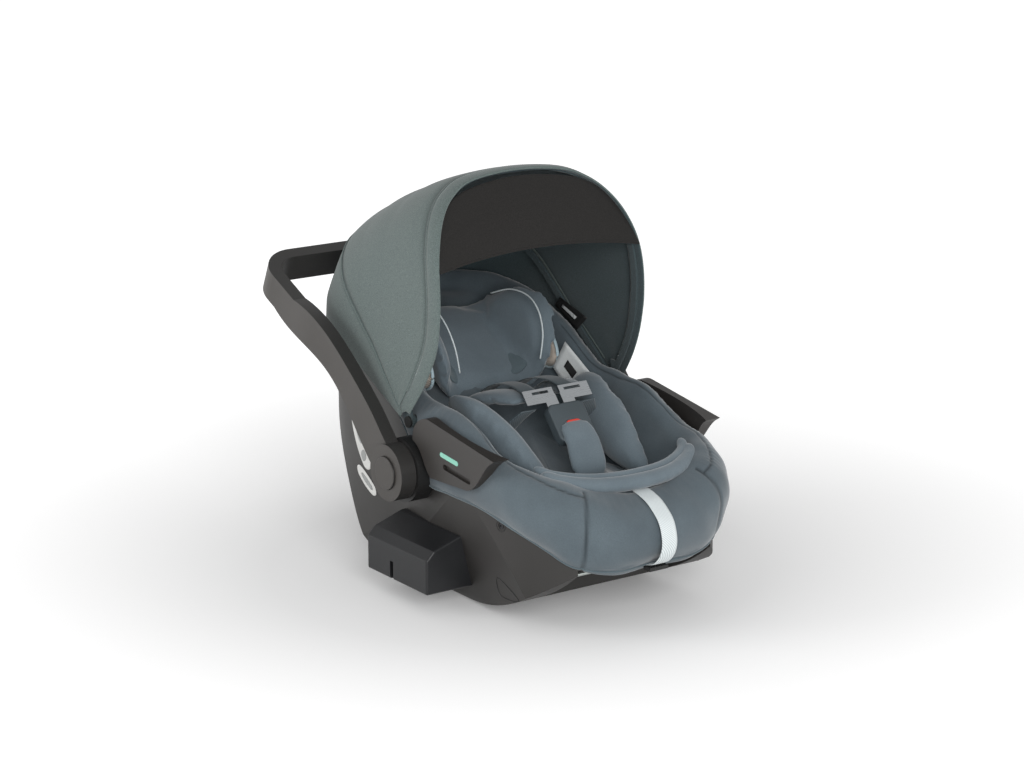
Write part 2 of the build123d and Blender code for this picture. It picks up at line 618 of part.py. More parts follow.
# ---- soft inlays ----
def inlay_parts(strap_slot, pocket):
    shell_space = space_solid(-GAP)
    base = (shell_space - space_solid(-13)) & Pos(0, -150, 160) * Box(176, 250, 120)
    lip = Pos(0, -276, 200) * extrude(Plane.YZ * Ellipse(17, 10), amount=92, both=True)
    keep("insert_base", biggest(base - strap_slot - pocket - lip))
    keep("insert_front_lip", lip)
    wing = side_prism(Pos(-118, 216) * Ellipse(70, 27), -96, -64)
    keep_pair("insert_side_pad", fillet(wing.edges(), 7))
    plane = back_plane()
    rest = Pos(0, 190, 14) * soft_block(150, 170, 26, 40)
    keep("head_pillow", plane * rest)
    side = Plane(origin=(-100, 0, 0), x_dir=(0, 1, 0), z_dir=(1, 0, 0)) * Pos(188, 52) * Ellipse(84, 50)
    side = extrude(side, amount=24, dir=(1, 0, 0))
    keep_pair("pillow_wing", plane * fillet(side.edges(), 10))
    mesh_side = Plane(origin=(-112, 0, 0), x_dir=(0, 1, 0), z_dir=(1, 0, 0)) * Pos(180, 40) * Ellipse(70, 36)
    keep_pair("mesh_panel", plane * extrude(mesh_side, amount=6, dir=(1, 0, 0)))


# ---- hood ----
LUG_R = 9.0
PIN_R = 4.0


def hood_parts(outer):
    panel_from = RIM_BAND + GAP
    front = hood_loft(HOOD_STATIONS[:-1] + [(MID_ANGLE - 0.4, MID_R)], 0, HOOD_T)
    keep("hood_front_band", biggest(front & behind_front(0, RIM_BAND)))
    keep("hood_front_panel", biggest(front & behind_front(panel_from, 700)))
    keep("hood_rear_panel", hood_loft([(MID_ANGLE + 0.4, MID_R), ((MID_ANGLE + REAR_ANGLE) / 2, MID_R), (REAR_ANGLE, MID_R)],
                                      0, HOOD_T))
    strip = hood_loft(HOOD_STATIONS, HOOD_T + 0.5, HOOD_T + 4) & behind_front(10, 22)
    strip = biggest(strip - Pos(0, 0, HOOD_Z - 80) * Box(500, 300, 200))
    x0, x1 = HOOD_HALF + 2, HOOD_HALF + 5
    link = side_prism(Polygon((HOOD_Y - 7, HOOD_Z), (HOOD_Y + 8, HOOD_Z - 5), (HOOD_Y + 14, HOOD_Z + 34), (HOOD_Y + 2, HOOD_Z + 34),
                              align=None), -x1, -x0)
    lug = disc_x(HOOD_Y, HOOD_Z, -x1, -x0, LUG_R) + link
    hole = disc_x(HOOD_Y, HOOD_Z, -240, 240, PIN_R + 0.08)
    keep("front_bow", strip + lug + mirror_x(lug) - hole)
    face = hood_band(MID_R, HOOD_T + 5, HOOD_T + 8.5, 6)
    mid = extrude(hood_plane(MID_ANGLE) * face, amount=5, both=True)
    x0, x1 = HOOD_HALF - 1.8, HOOD_HALF + 1.5
    lug = disc_x(HOOD_Y, HOOD_Z, -x1, -x0, LUG_R)
    keep("middle_bow", mid + lug + mirror_x(lug) - hole)
    pin = disc_x(HOOD_Y, HOOD_Z, -HOOD_HALF - 6, -150, PIN_R) + disc_x(HOOD_Y, HOOD_Z, -HOOD_HALF - 8.5, -HOOD_HALF - 6, LUG_R - 1)
    boss = disc_x(HOOD_Y, HOOD_Z, -HOOD_HALF + 2, -150, LUG_R)
    keep_pair("hood_pivot", biggest(pin + boss - outer))


VISOR_FOOT = (-57, 464)      # (y, z) of the visor's lower edge
VISOR_TOP = (4, 570)         # (y, z) of its hinged upper edge


def visor():
    rise = Vector(VISOR_TOP[0] - VISOR_FOOT[0], VISOR_TOP[1] - VISOR_FOOT[1])
    height = rise.length
    plane = Plane(origin=(0, *VISOR_FOOT), x_dir=(1, 0, 0), z_dir=(0, -rise.Y / height, rise.X / height))
    half = [(161, 0), (156, 30), (144, 60), (121, 90), (92, 108), (50, height - 5)]
    arch = half + [(0, height - 1)] + [(-x, v) for x, v in reversed(half)]
    edge = [(-161, 0), (-90, 12), (0, 17), (90, 12)]
    sheet = outline([arch[:-1], edge])
    return extrude(plane * sheet, amount=1.2, both=True)


def build():
    outer, hollow, shell = shell_parts()
    pan, liner, cover = tub_parts(outer, hollow, shell)
    guide = belt_guide(outer)
    keep_pair("belt_guide", guide)
    marker = guide_marker()
    keep("guide_markers", [marker, mirror_x(marker)])
    housing = pivot_housing(outer)
    keep_pair("pivot_housing", housing)
    keep_pair("adapter_housing", adapter_housing(outer))
    keep_pair("adapter_latch", adapter_latch())
    keep("handle_frame", handle_frame())
    keep_pair("hub_button", hub_button())
    keep_pair("button_spring", button_spring())
    axle = handle_axle()
    keep("handle_axles", [axle, mirror_x(axle)])
    strap_slot, sleeve = harness_parts()
    pocket = adjuster_parts()
    inlay_parts(strap_slot, pocket)
    hood_parts(outer)
    keep("sun_visor", visor())
    lever_housing, lever = lever_parts(outer)
    keep("lever_housing", lever_housing)
    keep("release_lever", lever)
    keep("front_anchor_bar", anchor_bar(BAR_FRONT))
    keep("rear_anchor_bar", anchor_bar(BAR_REAR))
    keep("shell_screws", [s for y, z in SCREW_AT for s in screw_pair(outer, y, z)])
    keep("bar_brackets", [bar_bracket(outer, spec, side) for spec in (BAR_FRONT, BAR_REAR) for side in (-1, 1)])

    keepout = [housing, guide, disc_x(HOOD_Y, HOOD_Z, -220, -HOOD_HALF + 6, 30), disc_x(HOOD_Y, HOOD_Z, -220, -150, LUG_R + GAP)]
    for item in keepout:
        cover = cover - item - mirror_x(item)
    tunnels = [strap_slot, sleeve, mirror_x(sleeve), pocket]
    for item in tunnels:
        cover = cover - item
        liner = liner - item
        pan = pan - item
    keep("seat_shell", biggest(shell))
    keep("seat_pan", biggest(pan))
    keep("foam_liner", biggest(liner))
    keep("seat_cover", biggest(cover))


def write():
    os.makedirs("parts", exist_ok=True)
    boxes = [s.bounding_box() for s in PARTS.values()]
    shift = -(min(b.min.Y for b in boxes) + max(b.max.Y for b in boxes)) / 2
    for name, shape in PARTS.items():
        moved = [Pos(0, shift, 0) * solid for solid in shape.solids()]
        export_step(moved[0] if len(moved) == 1 else Compound(children=moved), f"parts/{name}.step")
    return shift


build()
SHIFT_Y = write()
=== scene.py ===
import json
from math import cos, pi, radians, sin

import bmesh
import bpy
import numpy as np
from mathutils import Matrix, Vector


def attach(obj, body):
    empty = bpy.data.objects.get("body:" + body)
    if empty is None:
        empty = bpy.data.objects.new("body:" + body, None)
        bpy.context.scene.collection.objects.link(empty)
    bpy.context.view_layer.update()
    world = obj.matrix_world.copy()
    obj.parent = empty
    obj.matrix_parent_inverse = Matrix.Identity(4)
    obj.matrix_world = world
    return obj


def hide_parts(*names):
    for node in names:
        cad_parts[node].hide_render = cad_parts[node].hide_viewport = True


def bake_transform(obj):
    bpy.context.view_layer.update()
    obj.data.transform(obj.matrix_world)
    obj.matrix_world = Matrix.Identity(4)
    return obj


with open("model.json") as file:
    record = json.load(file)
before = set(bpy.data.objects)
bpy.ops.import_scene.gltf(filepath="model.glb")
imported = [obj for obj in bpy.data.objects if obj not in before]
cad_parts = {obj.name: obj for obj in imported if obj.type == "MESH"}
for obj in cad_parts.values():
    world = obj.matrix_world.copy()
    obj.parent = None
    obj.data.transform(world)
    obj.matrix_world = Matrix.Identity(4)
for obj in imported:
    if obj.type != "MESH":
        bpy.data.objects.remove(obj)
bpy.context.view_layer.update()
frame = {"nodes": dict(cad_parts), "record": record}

# Infant car seat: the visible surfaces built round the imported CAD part. Shapes are given in
# millimetres from the handle's axis in Y and from the floor in Z, and at() turns them into metres
# in the part's own frame.
JOINTS = {joint["name"]: joint for joint in frame["record"]["behaviour"]["joints"]}
HUB_Y = JOINTS["handle_swing"]["pos_m"][1]
HOOD_PIVOT = JOINTS["hood_fold"]["pos_m"]
MM = 0.001


def at(points):
    """Points in millimetres from the handle's axis and the floor, as metres in the part's frame."""
    return np.asarray(points, float) * MM + np.array([0, HUB_Y, 0])


# ---- camera, light and floor ----
def make_camera():
    azimuth, elevation, distance = radians(-35), radians(15), 4.19
    target = Vector(at((26, 52, 256)))
    toward = Vector((sin(azimuth) * cos(elevation), -cos(azimuth) * cos(elevation), sin(elevation)))
    data = bpy.data.cameras.new("camera")
    data.lens = 103.15
    data.sensor_width = 36
    camera = bpy.data.objects.new("camera", data)
    camera.location = target + toward * distance
    camera.rotation_euler = toward.to_track_quat("Z", "Y").to_euler()
    bpy.context.collection.objects.link(camera)
    bpy.context.scene.camera = camera


def make_light(name, place, aim, size, power, colour=(1, 1, 1)):
    data = bpy.data.lights.new(name, "AREA")
    data.shape = "DISK"
    data.size = size
    data.energy = power
    data.color = colour
    light = bpy.data.objects.new(name, data)
    light.location = place
    light.rotation_euler = (Vector(place) - Vector(aim)).to_track_quat("Z", "Y").to_euler()
    bpy.context.collection.objects.link(light)


def make_studio():
    make_light("key_light", (-1.3, -2.9, 1.3), (0, 0, 0.2), 1.8, 66)
    make_light("fill_light", (2.2, -1.8, 1.2), (0, 0, 0.25), 2.0, 12)
    make_light("rim_light", (-2.6, 1.2, 1.2), (0, 0, 0.2), 1.6, 26)
    world = bpy.data.worlds.new("studio_world")
    world.use_nodes = True
    tree = world.node_tree
    shader = tree.nodes["Background"]
    shader.inputs["Color"].default_value = (1, 1, 1, 1)
    # the backdrop stays white to the camera while its light on the seat is softer
    seen = add(tree, "LightPath")
    tree.links.new(add(tree, "MapRange", {"Value": seen}, {"To Min": 0.55, "To Max": 1.0}), shader.inputs["Strength"])
    bpy.context.scene.world = world
    bpy.context.scene.view_settings.view_transform = "Standard"
    mesh = bpy.data.meshes.new("floor")
    side = 9.0
    mesh.from_pydata([(-side, -side, 0), (side, -side, 0), (side, side, 0), (-side, side, 0)], [], [(0, 1, 2, 3)])
    floor = bpy.data.objects.new("floor", mesh)
    bpy.context.collection.objects.link(floor)
    material, tree, shader = new_material("studio_floor")
    shader.inputs["Base Color"].default_value = (0.78, 0.78, 0.78, 1)
    shader.inputs["Roughness"].default_value = 0.9
    shader.inputs["Emission Color"].default_value = (1, 1, 1, 1)
    # painted light: the floor glows, weakly next to the seat and more away from it, so the backdrop is white and only
    # the shadow stays, lifted a little by the glow, with a painted darkening round the seat
    add(tree, "VectorMath", {0: coords(tree)}, operation="LENGTH")
    reach = [socket for socket in tree.nodes[-1].outputs if socket.type == "VALUE"][0]
    glow = add(tree, "MapRange", {"Value": reach}, {"From Min": 0.35, "From Max": 1.3, "To Min": 0.12, "To Max": 0.62})
    tree.links.new(glow, shader.inputs["Emission Strength"])
    mesh.materials.append(material)


# ---- materials ----
def linear(code):
    """A linear colour from an sRGB hex code."""
    parts = [int(code[i:i + 2], 16) / 255 for i in (0, 2, 4)]
    return tuple(c / 12.92 if c <= 0.04045 else ((c + 0.055) / 1.055) ** 2.4 for c in parts) + (1,)


def new_material(name):
    material = bpy.data.materials.new(name)
    material.use_nodes = True
    tree = material.node_tree
    return material, tree, tree.nodes["Principled BSDF"]


def add(tree, kind, links=(), values=(), **settings):
    """One node with its settings, its constant inputs and its incoming links; returns its first output."""
    node = tree.nodes.new("ShaderNode" + kind)
    for key, value in settings.items():
        setattr(node, key, value)
    for key, value in dict(values).items():
        node.inputs[key].default_value = value
    for key, source in dict(links).items():
        tree.links.new(source, node.inputs[key])
    return node.outputs[0]


def ramp(tree, factor, stops):
    """A colour ramp over (position, sRGB hex) stops."""
    node = tree.nodes.new("ShaderNodeValToRGB")
    elements = node.color_ramp.elements
    for i, (position, code) in enumerate(stops):
        element = elements[i] if i < 2 else elements.new(position)
        element.position = position
        element.color = linear(code)
    tree.links.new(factor, node.inputs[0])
    return node.outputs[0]


def coords(tree, scale=(1, 1, 1)):
    """Object coordinates, in metres, with the lengths multiplied by scale."""
    place = tree.nodes.new("ShaderNodeTexCoord").outputs["Object"]
    return add(tree, "Mapping", {"Vector": place}, {"Scale": scale})


def bump(tree, shader, height, distance, strength=1.0, below=None):
    links = {"Height": height}
    if below is not None:
        links["Normal"] = below
    normal = add(tree, "Bump", links, {"Strength": strength, "Distance": distance})
    tree.links.new(normal, shader.inputs["Normal"])
    return normal


def paint_seam_shade(tree, colour, shader, code):
    """Blend the colour to a dark painted shade where the piece's seam attribute rises: painted shadow in the seam
    grooves.
    """
    attribute = tree.nodes.new("ShaderNodeAttribute")
    attribute.attribute_name = "seam"
    shade = tree.nodes.new("ShaderNodeMix")
    shade.data_type = "RGBA"
    sockets = [socket for socket in shade.inputs if socket.type == "RGBA"]
    tree.links.new(attribute.outputs["Fac"], shade.inputs[0])
    tree.links.new(colour, sockets[0])
    sockets[1].default_value = linear(code)
    tree.links.new([socket for socket in shade.outputs if socket.type == "RGBA"][0], shader.inputs["Base Color"])


def jersey(name, light, dark, pitch=1.3, painted_seam_shade="20262a"):
    """Knitted polyester jersey over foam: fine rows of stitches, soft sheen at grazing angles, and a painted shadow
    line in the bottom of each seam."""
    material, tree, shader = new_material(name)
    turns = 1 / (pitch * MM)
    cloud = add(tree, "TexNoise", {"Vector": coords(tree)}, {"Scale": 14.0, "Detail": 3.0})
    fuzz = add(tree, "TexNoise", {"Vector": coords(tree)}, {"Scale": 1 / (0.9 * MM), "Detail": 2.0})
    mixed = add(tree, "Math", {0: cloud, 1: fuzz}, operation="MULTIPLY_ADD", values={2: 0.12})
    colour = ramp(tree, mixed, [(0.2, dark), (0.55, light)])
    paint_seam_shade(tree, colour, shader, painted_seam_shade)
    rows = add(tree, "TexWave", {"Vector": coords(tree, (turns, turns, turns))},
               {"Scale": 0.31, "Distortion": 1.5, "Detail": 1.0, "Detail Scale": 1.4}, bands_direction="DIAGONAL")
    knit = bump(tree, shader, rows, 0.12 * MM, 0.35)
    bump(tree, shader, fuzz, 0.12 * MM, 0.5, knit)
    shader.inputs["Roughness"].default_value = 0.88
    shader.inputs["Sheen Weight"].default_value = 0.35
    shader.inputs["Sheen Roughness"].default_value = 0.45
    shader.inputs["Specular IOR Level"].default_value = 0.2
    return material


def melange(name, stops, sheen=0.2, painted_seam_shade="1c2425"):
    """Woven heather fabric: short light and dark fibres mixed along the weft, with a canvas weave."""
    material, tree, shader = new_material(name)
    along = add(tree, "TexNoise", {"Vector": coords(tree, (520, 520, 1500))}, {"Scale": 1.0, "Detail": 3.0, "Roughness": 0.7})
    across = add(tree, "TexNoise", {"Vector": coords(tree, (1300, 1300, 620))}, {"Scale": 1.0, "Detail": 2.0})
    mixed = add(tree, "Math", {0: along, 1: across}, operation="ADD")
    half = add(tree, "Math", {0: mixed}, {1: 0.5}, operation="MULTIPLY")
    colour = ramp(tree, half, stops)
    # painted shadow along the seams, from the seam attribute
    paint_seam_shade(tree, colour, shader, painted_seam_shade)
    bump(tree, shader, half, 0.2 * MM, 0.5)
    shader.inputs["Roughness"].default_value = 0.9
    shader.inputs["Sheen Weight"].default_value = sheen
    shader.inputs["Sheen Roughness"].default_value = 0.5
    shader.inputs["Specular IOR Level"].default_value = 0.2
    return material


def moulded(name, base, high, roughness=0.5, grain=0.7, depth=0.05, spread=0.08, coat=0.0, side=None):
    """Injection-moulded plastic: fine spark-eroded grain, slight cloudiness from handling, and a roughness that varies
    a little over the surface. With side given, faces turned sideways take that colour as a painted side light."""
    material, tree, shader = new_material(name)
    cloud = add(tree, "TexNoise", {"Vector": coords(tree)}, {"Scale": 9.0, "Detail": 4.0})
    colour = ramp(tree, cloud, [(0.3, base), (0.75, high)])
    tree.links.new(colour, shader.inputs["Base Color"])
    if side is not None:
        # painted light: the base colour goes to the side colour on faces turned sideways
        facing = tree.nodes.new("ShaderNodeNewGeometry").outputs["Normal"]
        across = add(tree, "SeparateXYZ", {"Vector": facing})
        turned = add(tree, "Math", {0: across}, operation="ABSOLUTE")
        tree.links.new(ramp(tree, turned, [(0.45, base), (0.8, side)]), shader.inputs["Base Color"])
    rough = add(tree, "MapRange", {"Value": cloud}, {"From Min": 0.25, "From Max": 0.75, "To Min": roughness - spread,
                                                     "To Max": roughness + spread})
    tree.links.new(rough, shader.inputs["Roughness"])
    cells = add(tree, "TexVoronoi", {"Vector": coords(tree)}, {"Scale": 1 / (grain * MM)})
    bump(tree, shader, cells, depth * MM, 0.5)
    shader.inputs["Specular IOR Level"].default_value = 0.4
    shader.inputs["Coat Weight"].default_value = coat
    return material


def plated(name, base, roughness, brush=(40, 900, 900)):
    """Plated or brushed steel: long fine scratches along one way and a soft mirror."""
    material, tree, shader = new_material(name)
    scratches = add(tree, "TexNoise", {"Vector": coords(tree, brush)}, {"Scale": 1.0, "Detail": 3.0})
    tree.links.new(add(tree, "MapRange", {"Value": scratches}, {"To Min": roughness - 0.08, "To Max": roughness + 0.1}),
                   shader.inputs["Roughness"])
    shader.inputs["Base Color"].default_value = linear(base)
    shader.inputs["Metallic"].default_value = 1.0
    bump(tree, shader, scratches, 0.02 * MM, 0.3)
    return material


def webbing(name, light, dark, pitch=1.6):
    """Woven polyester webbing: a twill rib across the strap and a little gloss on the threads."""
    material, tree, shader = new_material(name)
    turns = 1 / (pitch * MM)
    rib = add(tree, "TexWave", {"Vector": coords(tree, (turns, turns, turns))}, {"Scale": 0.3, "Distortion": 0.6},
              bands_direction="DIAGONAL")
    fuzz = add(tree, "TexNoise", {"Vector": coords(tree)}, {"Scale": 1 / (0.8 * MM), "Detail": 2.0})
    mixed = add(tree, "Math", {0: rib, 1: fuzz}, operation="ADD")
    half = add(tree, "Math", {0: mixed}, {1: 0.5}, operation="MULTIPLY")
    tree.links.new(ramp(tree, half, [(0.25, dark), (0.7, light)]), shader.inputs["Base Color"])
    bump(tree, shader, half, 0.18 * MM, 0.6)
    shader.inputs["Roughness"].default_value = 0.6
    shader.inputs["Sheen Weight"].default_value = 0.2
    return material


def spacer_mesh(name, thread, hole, pitch=3.2):
    """Warp-knitted spacer mesh: rows of small round holes in a pale knit."""
    material, tree, shader = new_material(name)
    cells = add(tree, "TexVoronoi", {"Vector": coords(tree)}, {"Scale": 1 / (pitch * MM), "Randomness": 0.12})
    tree.links.new(ramp(tree, cells, [(0.22, hole), (0.34, thread)]), shader.inputs["Base Color"])
    bump(tree, shader, cells, 0.4 * MM, 0.8)
    shader.inputs["Roughness"].default_value = 0.85
    shader.inputs["Sheen Weight"].default_value = 0.2
    return material


def foam_beads(name, light, dark):
    """Expanded polystyrene: fused beads a few millimetres across."""
    material, tree, shader = new_material(name)
    cells = add(tree, "TexVoronoi", {"Vector": coords(tree)}, {"Scale": 1 / (4 * MM)})
    tree.links.new(ramp(tree, cells, [(0.2, light), (0.7, dark)]), shader.inputs["Base Color"])
    bump(tree, shader, cells, 0.3 * MM, 0.6)
    shader.inputs["Roughness"].default_value = 0.8
    return material


def make_materials():
    m = {}
    m["cover"] = jersey("slate_jersey", "59646a", "464f55")
    m["inner"] = jersey("inner_jersey", "59666b", "465157")
    m["pad"] = jersey("pad_jersey", "69757c", "566168")
    m["hood"] = melange("heather_canvas", [(0.34, "434d4c"), (0.5, "56615f"), (0.66, "6b7775")])
    m["lining"] = melange("hood_lining", [(0.34, "2c3638"), (0.5, "374346"), (0.66, "435053")])
    m["hood_thread"] = webbing("hood_thread", "a3adab", "7f8a88", 0.6)
    m["visor"] = melange("visor_cloth", [(0.35, "1a1918"), (0.5, "21201f"), (0.62, "282625")], sheen=0.04)
    m["piping"] = webbing("reflective_piping", "d3dadb", "a5b0b3", 0.9)
    m["binding"] = webbing("pale_binding", "a9bcc2", "8297a0", 1.0)
    m["mesh"] = spacer_mesh("beige_spacer_mesh", "c9bdb0", "75695f")
    m["strap"] = webbing("harness_webbing", "48545a", "343e43")
    m["silver"] = webbing("silver_webbing", "d3d9da", "a9b2b4", 1.8)
    m["shell"] = moulded("textured_polypropylene", "282725", "302e2d", 0.5)
    m["pan"] = moulded("black_polypropylene", "232323", "2b2b2b", 0.55)
    # the handle's sideways faces get a lighter colour, a painted side light
    m["handle"] = moulded("handle_nylon", "2b2a29", "343231", 0.42, side="383532")
    m["adapter"] = moulded("adapter_abs", "18191b", "1f2022", 0.42)
    m["guide"] = moulded("guide_abs", "2a2826", "33302e", 0.4)
    m["black"] = moulded("black_acetal", "161616", "202020", 0.4)
    m["grey"] = moulded("grey_acetal", "353d41", "434c51", 0.45)
    m["mint"] = moulded("mint_inlay", "79b9a5", "8cc7b5", 0.35, depth=0.02)
    m["red"] = moulded("red_abs", "b8281c", "cc3a2a", 0.28, depth=0.01, coat=0.3)
    m["tongue"] = plated("satin_chrome", "b4b8bb", 0.28)
    m["bar"] = plated("zinc_bar", "c9cfcb", 0.3)
    m["bolt"] = plated("black_steel", "4a4a4c", 0.4)
    m["foam"] = foam_beads("polystyrene_beads", "3a3b3d", "28292b")
    m["sticker"] = moulded("white_vinyl", "c4c4c1", "d4d4d1", 0.35, depth=0.01)
    m["label"] = webbing("satin_label", "cfd2d2", "a8adad", 0.7)
    m["shadow_print"] = moulded("grey_print", "8d8f8e", "9a9c9b", 0.5, depth=0.01)
    m["print"] = moulded("dark_print", "1a1a1a", "262626", 0.6, depth=0.01)
    return m


# ---- mesh tools ----
def spline(points, n, closed=False):
    """n points on a smooth curve through the given ones, evenly spaced in parameter."""
    p = np.asarray(points, float)
    count = len(p)
    spans = count if closed else count - 1
    t = np.linspace(0, spans, n, endpoint=not closed)
    i = np.minimum(t.astype(int), spans - 1)
    f = (t - i).reshape(-1, *([1] * (p.ndim - 1)))

    def pick(k):
        return p[(i + k) % count] if closed else p[np.clip(i + k, 0, count - 1)]
    a, b, c, d = pick(-1), pick(0), pick(1), pick(2)
    return 0.5 * (2 * b + (c - a) * f + (2 * a - 5 * b + 4 * c - d) * f ** 2 + (3 * b - a - 3 * c + d) * f ** 3)


def even(points, n, closed=False):
    """n points evenly spaced along the smooth curve through the given ones."""
    fine = spline(points, 40 * len(points), closed)
    if closed:
        fine = np.vstack([fine, fine[:1]])
    run = np.concatenate([[0], np.cumsum(np.linalg.norm(np.diff(fine, axis=0), axis=1))])
    goal = np.linspace(0, run[-1], n, endpoint=not closed)
    return np.stack([np.interp(goal, run, fine[:, k]) for k in range(fine.shape[1])], 1)


def normals_of(grid, wrap=False):
    """Unit normals of a grid of points."""
    if wrap:
        ring = np.concatenate([grid[:, -2:-1], grid, grid[:, 1:2]], 1) if np.allclose(grid[:, 0], grid[:, -1]) else \
            np.concatenate([grid[:, -1:], grid, grid[:, :1]], 1)
        du = (ring[:, 2:] - ring[:, :-2])
    else:
        du = np.gradient(grid, axis=1)
    dv = np.gradient(grid, axis=0)
    n = np.cross(du, dv)
    return n / np.maximum(np.linalg.norm(n, axis=2, keepdims=True), 1e-9)


def new_piece(name, verts, faces, material, seam=None):
    mesh = bpy.data.meshes.new(name)
    mesh.from_pydata([tuple(v) for v in verts], [], faces)
    mesh.validate()
    work = bmesh.new()
    work.from_mesh(mesh)
    bmesh.ops.recalc_face_normals(work, faces=work.faces)
    work.to_mesh(mesh)
    work.free()
    mesh.shade_smooth()
    mesh.materials.append(material)
    if seam is not None and len(seam) == len(mesh.vertices):
        mesh.attributes.new("seam", "FLOAT", "POINT").data.foreach_set("value", np.asarray(seam, float).ravel())
    piece = bpy.data.objects.new(name, mesh)
    bpy.context.collection.objects.link(piece)
    return piece


def quads(rows, cols, wrap, offset=0, flip=False):
    faces = []
    for r in range(rows - 1):
        for c in range(cols if wrap else cols - 1):
            d = (c + 1) % cols
            face = (offset + r * cols + c, offset + r * cols + d, offset + (r + 1) * cols + d, offset + (r + 1) * cols + c)
            faces.append(face[::-1] if flip else face)
    return faces


def slab(name, grid, out, inn, material, wrap=False, seam=None, cap_last=False, lining=None):
    """A closed piece on both sides of a grid of points in mm: out and inn are its thickness on each side."""
    rows, cols = grid.shape[:2]
    n = normals_of(grid, wrap)
    out = np.broadcast_to(np.asarray(out, float), (rows, cols))[..., None]
    inn = np.broadcast_to(np.asarray(inn, float), (rows, cols))[..., None]
    outer, inner = grid + n * out, grid - n * inn
    size = rows * cols
    verts = at(np.concatenate([outer.reshape(-1, 3), inner.reshape(-1, 3)]))
    faces = quads(rows, cols, wrap) + quads(rows, cols, wrap, size, True)
    edges = [(range(cols), 0), (range(cols), (rows - 1) * cols)]
    for r, base in edges:
        if base and cap_last:
            continue
        for c in (range(cols) if wrap else range(cols - 1)):
            a, b = base + c, base + (c + 1) % cols
            faces.append((a, a + size, b + size, b))
    if not wrap:
        for c in (0, cols - 1):
            for r in range(rows - 1):
                a, b = r * cols + c, (r + 1) * cols + c
                faces.append((a, b, b + size, a + size))
    if cap_last:
        for base in ((rows - 1) * cols, size + (rows - 1) * cols):
            middle = len(verts)
            ring = list(range(base, base + cols))
            verts = np.vstack([verts, verts[ring].mean(0)])
            faces += [(ring[i], ring[(i + 1) % cols], middle) for i in range(cols)]
    if seam is not None:
        seam = np.concatenate([seam.ravel(), seam.ravel()])
        seam = np.concatenate([seam, np.zeros(len(verts) - len(seam))])
    piece = new_piece(name, verts, faces, material, seam)
    if lining is not None:
        piece.data.materials.append(lining)
        start = len(quads(rows, cols, wrap))
        for face in piece.data.polygons[start:2 * start]:
            face.material_index = 1
    return piece


def tube(name, path, radius, material, closed=False, sides=10, flat=1.0, up=None):
    """A round or flattened bead along a path in mm; radius may vary along it."""
    path = np.asarray(path, float)
    n = len(path)
    tangent = np.gradient(path, axis=0)
    if closed:
        tangent = np.roll(path, -1, 0) - np.roll(path, 1, 0)
    tangent /= np.maximum(np.linalg.norm(tangent, axis=1, keepdims=True), 1e-9)
    guide = np.broadcast_to(np.array(up if up is not None else (0.0, 0.0, 1.0)), path.shape)
    side = np.cross(tangent, guide)
    side /= np.maximum(np.linalg.norm(side, axis=1, keepdims=True), 1e-6)
    rise = np.cross(side, tangent)
    r = np.broadcast_to(np.asarray(radius, float), (n,))[:, None, None]
    a = np.linspace(0, 2 * pi, sides, endpoint=False)[None, :, None]
    rings = path[:, None] + r * (np.cos(a) * side[:, None] + flat * np.sin(a) * rise[:, None])
    verts = at(rings.reshape(-1, 3))
    faces = quads(n, sides, True)
    if closed:
        last = (n - 1) * sides
        faces += [(last + c, last + (c + 1) % sides, (c + 1) % sides, c) for c in range(sides)]
    else:
        faces += [tuple(range(sides)), tuple(range((n - 1) * sides, n * sides))]
    return new_piece(name, verts, faces, material)


def settle(piece):
    """Turn a piece's modifiers into plain mesh."""
    graph = bpy.context.evaluated_depsgraph_get()
    mesh = bpy.data.meshes.new_from_object(piece.evaluated_get(graph))
    old = piece.data
    piece.modifiers.clear()
    piece.data = mesh
    bpy.data.meshes.remove(old)
    piece.data.shade_smooth()
    return piece


def subdivide(piece, levels=1):
    modifier = piece.modifiers.new("smooth", "SUBSURF")
    modifier.levels = modifier.render_levels = levels
    return settle(piece)


def inflate(piece, voxel, cap, pressure=4.0, frames=20):
    """Fill a closed piece like a stuffed pad: even it out, blow it up as cloth and cap how far it moves."""
    remesh = piece.modifiers.new("even", "REMESH")
    remesh.mode = "VOXEL"
    remesh.voxel_size = voxel
    settle(piece)
    count = len(piece.data.vertices)
    rest = np.empty(count * 3)
    piece.data.vertices.foreach_get("co", rest)
    cloth = piece.modifiers.new("cloth", "CLOTH")
    cloth.settings.quality = 5
    cloth.settings.use_pressure = True
    cloth.settings.uniform_pressure_force = pressure
    cloth.settings.effector_weights.gravity = 0
    cloth.settings.tension_stiffness = cloth.settings.compression_stiffness = 15
    cloth.point_cache.frame_start, cloth.point_cache.frame_end = 1, frames
    scene = bpy.context.scene
    for number in range(1, frames + 1):
        scene.frame_set(number)
    graph = bpy.context.evaluated_depsgraph_get()
    moved = np.empty(count * 3)
    piece.evaluated_get(graph).data.vertices.foreach_get("co", moved)
    scene.frame_set(1)
    piece.modifiers.clear()
    rest, moved = rest.reshape(-1, 3), moved.reshape(-1, 3)
    step = moved - rest
    length = np.linalg.norm(step, axis=1, keepdims=True)
    piece.data.vertices.foreach_set("co", (rest + step * np.minimum(1, cap / np.maximum(length, 1e-9))).ravel())
    piece.data.update()
    return subdivide(piece)


def hold(piece, body, slot, *nodes):
    """Put a piece on its body and hide the CAD nodes it stands for; slot is not used."""
    if nodes:
        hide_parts(*nodes)
    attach(piece, body)
    return piece


def mirrored(points):
    return np.asarray(points, float) * np.array([-1, 1, 1])


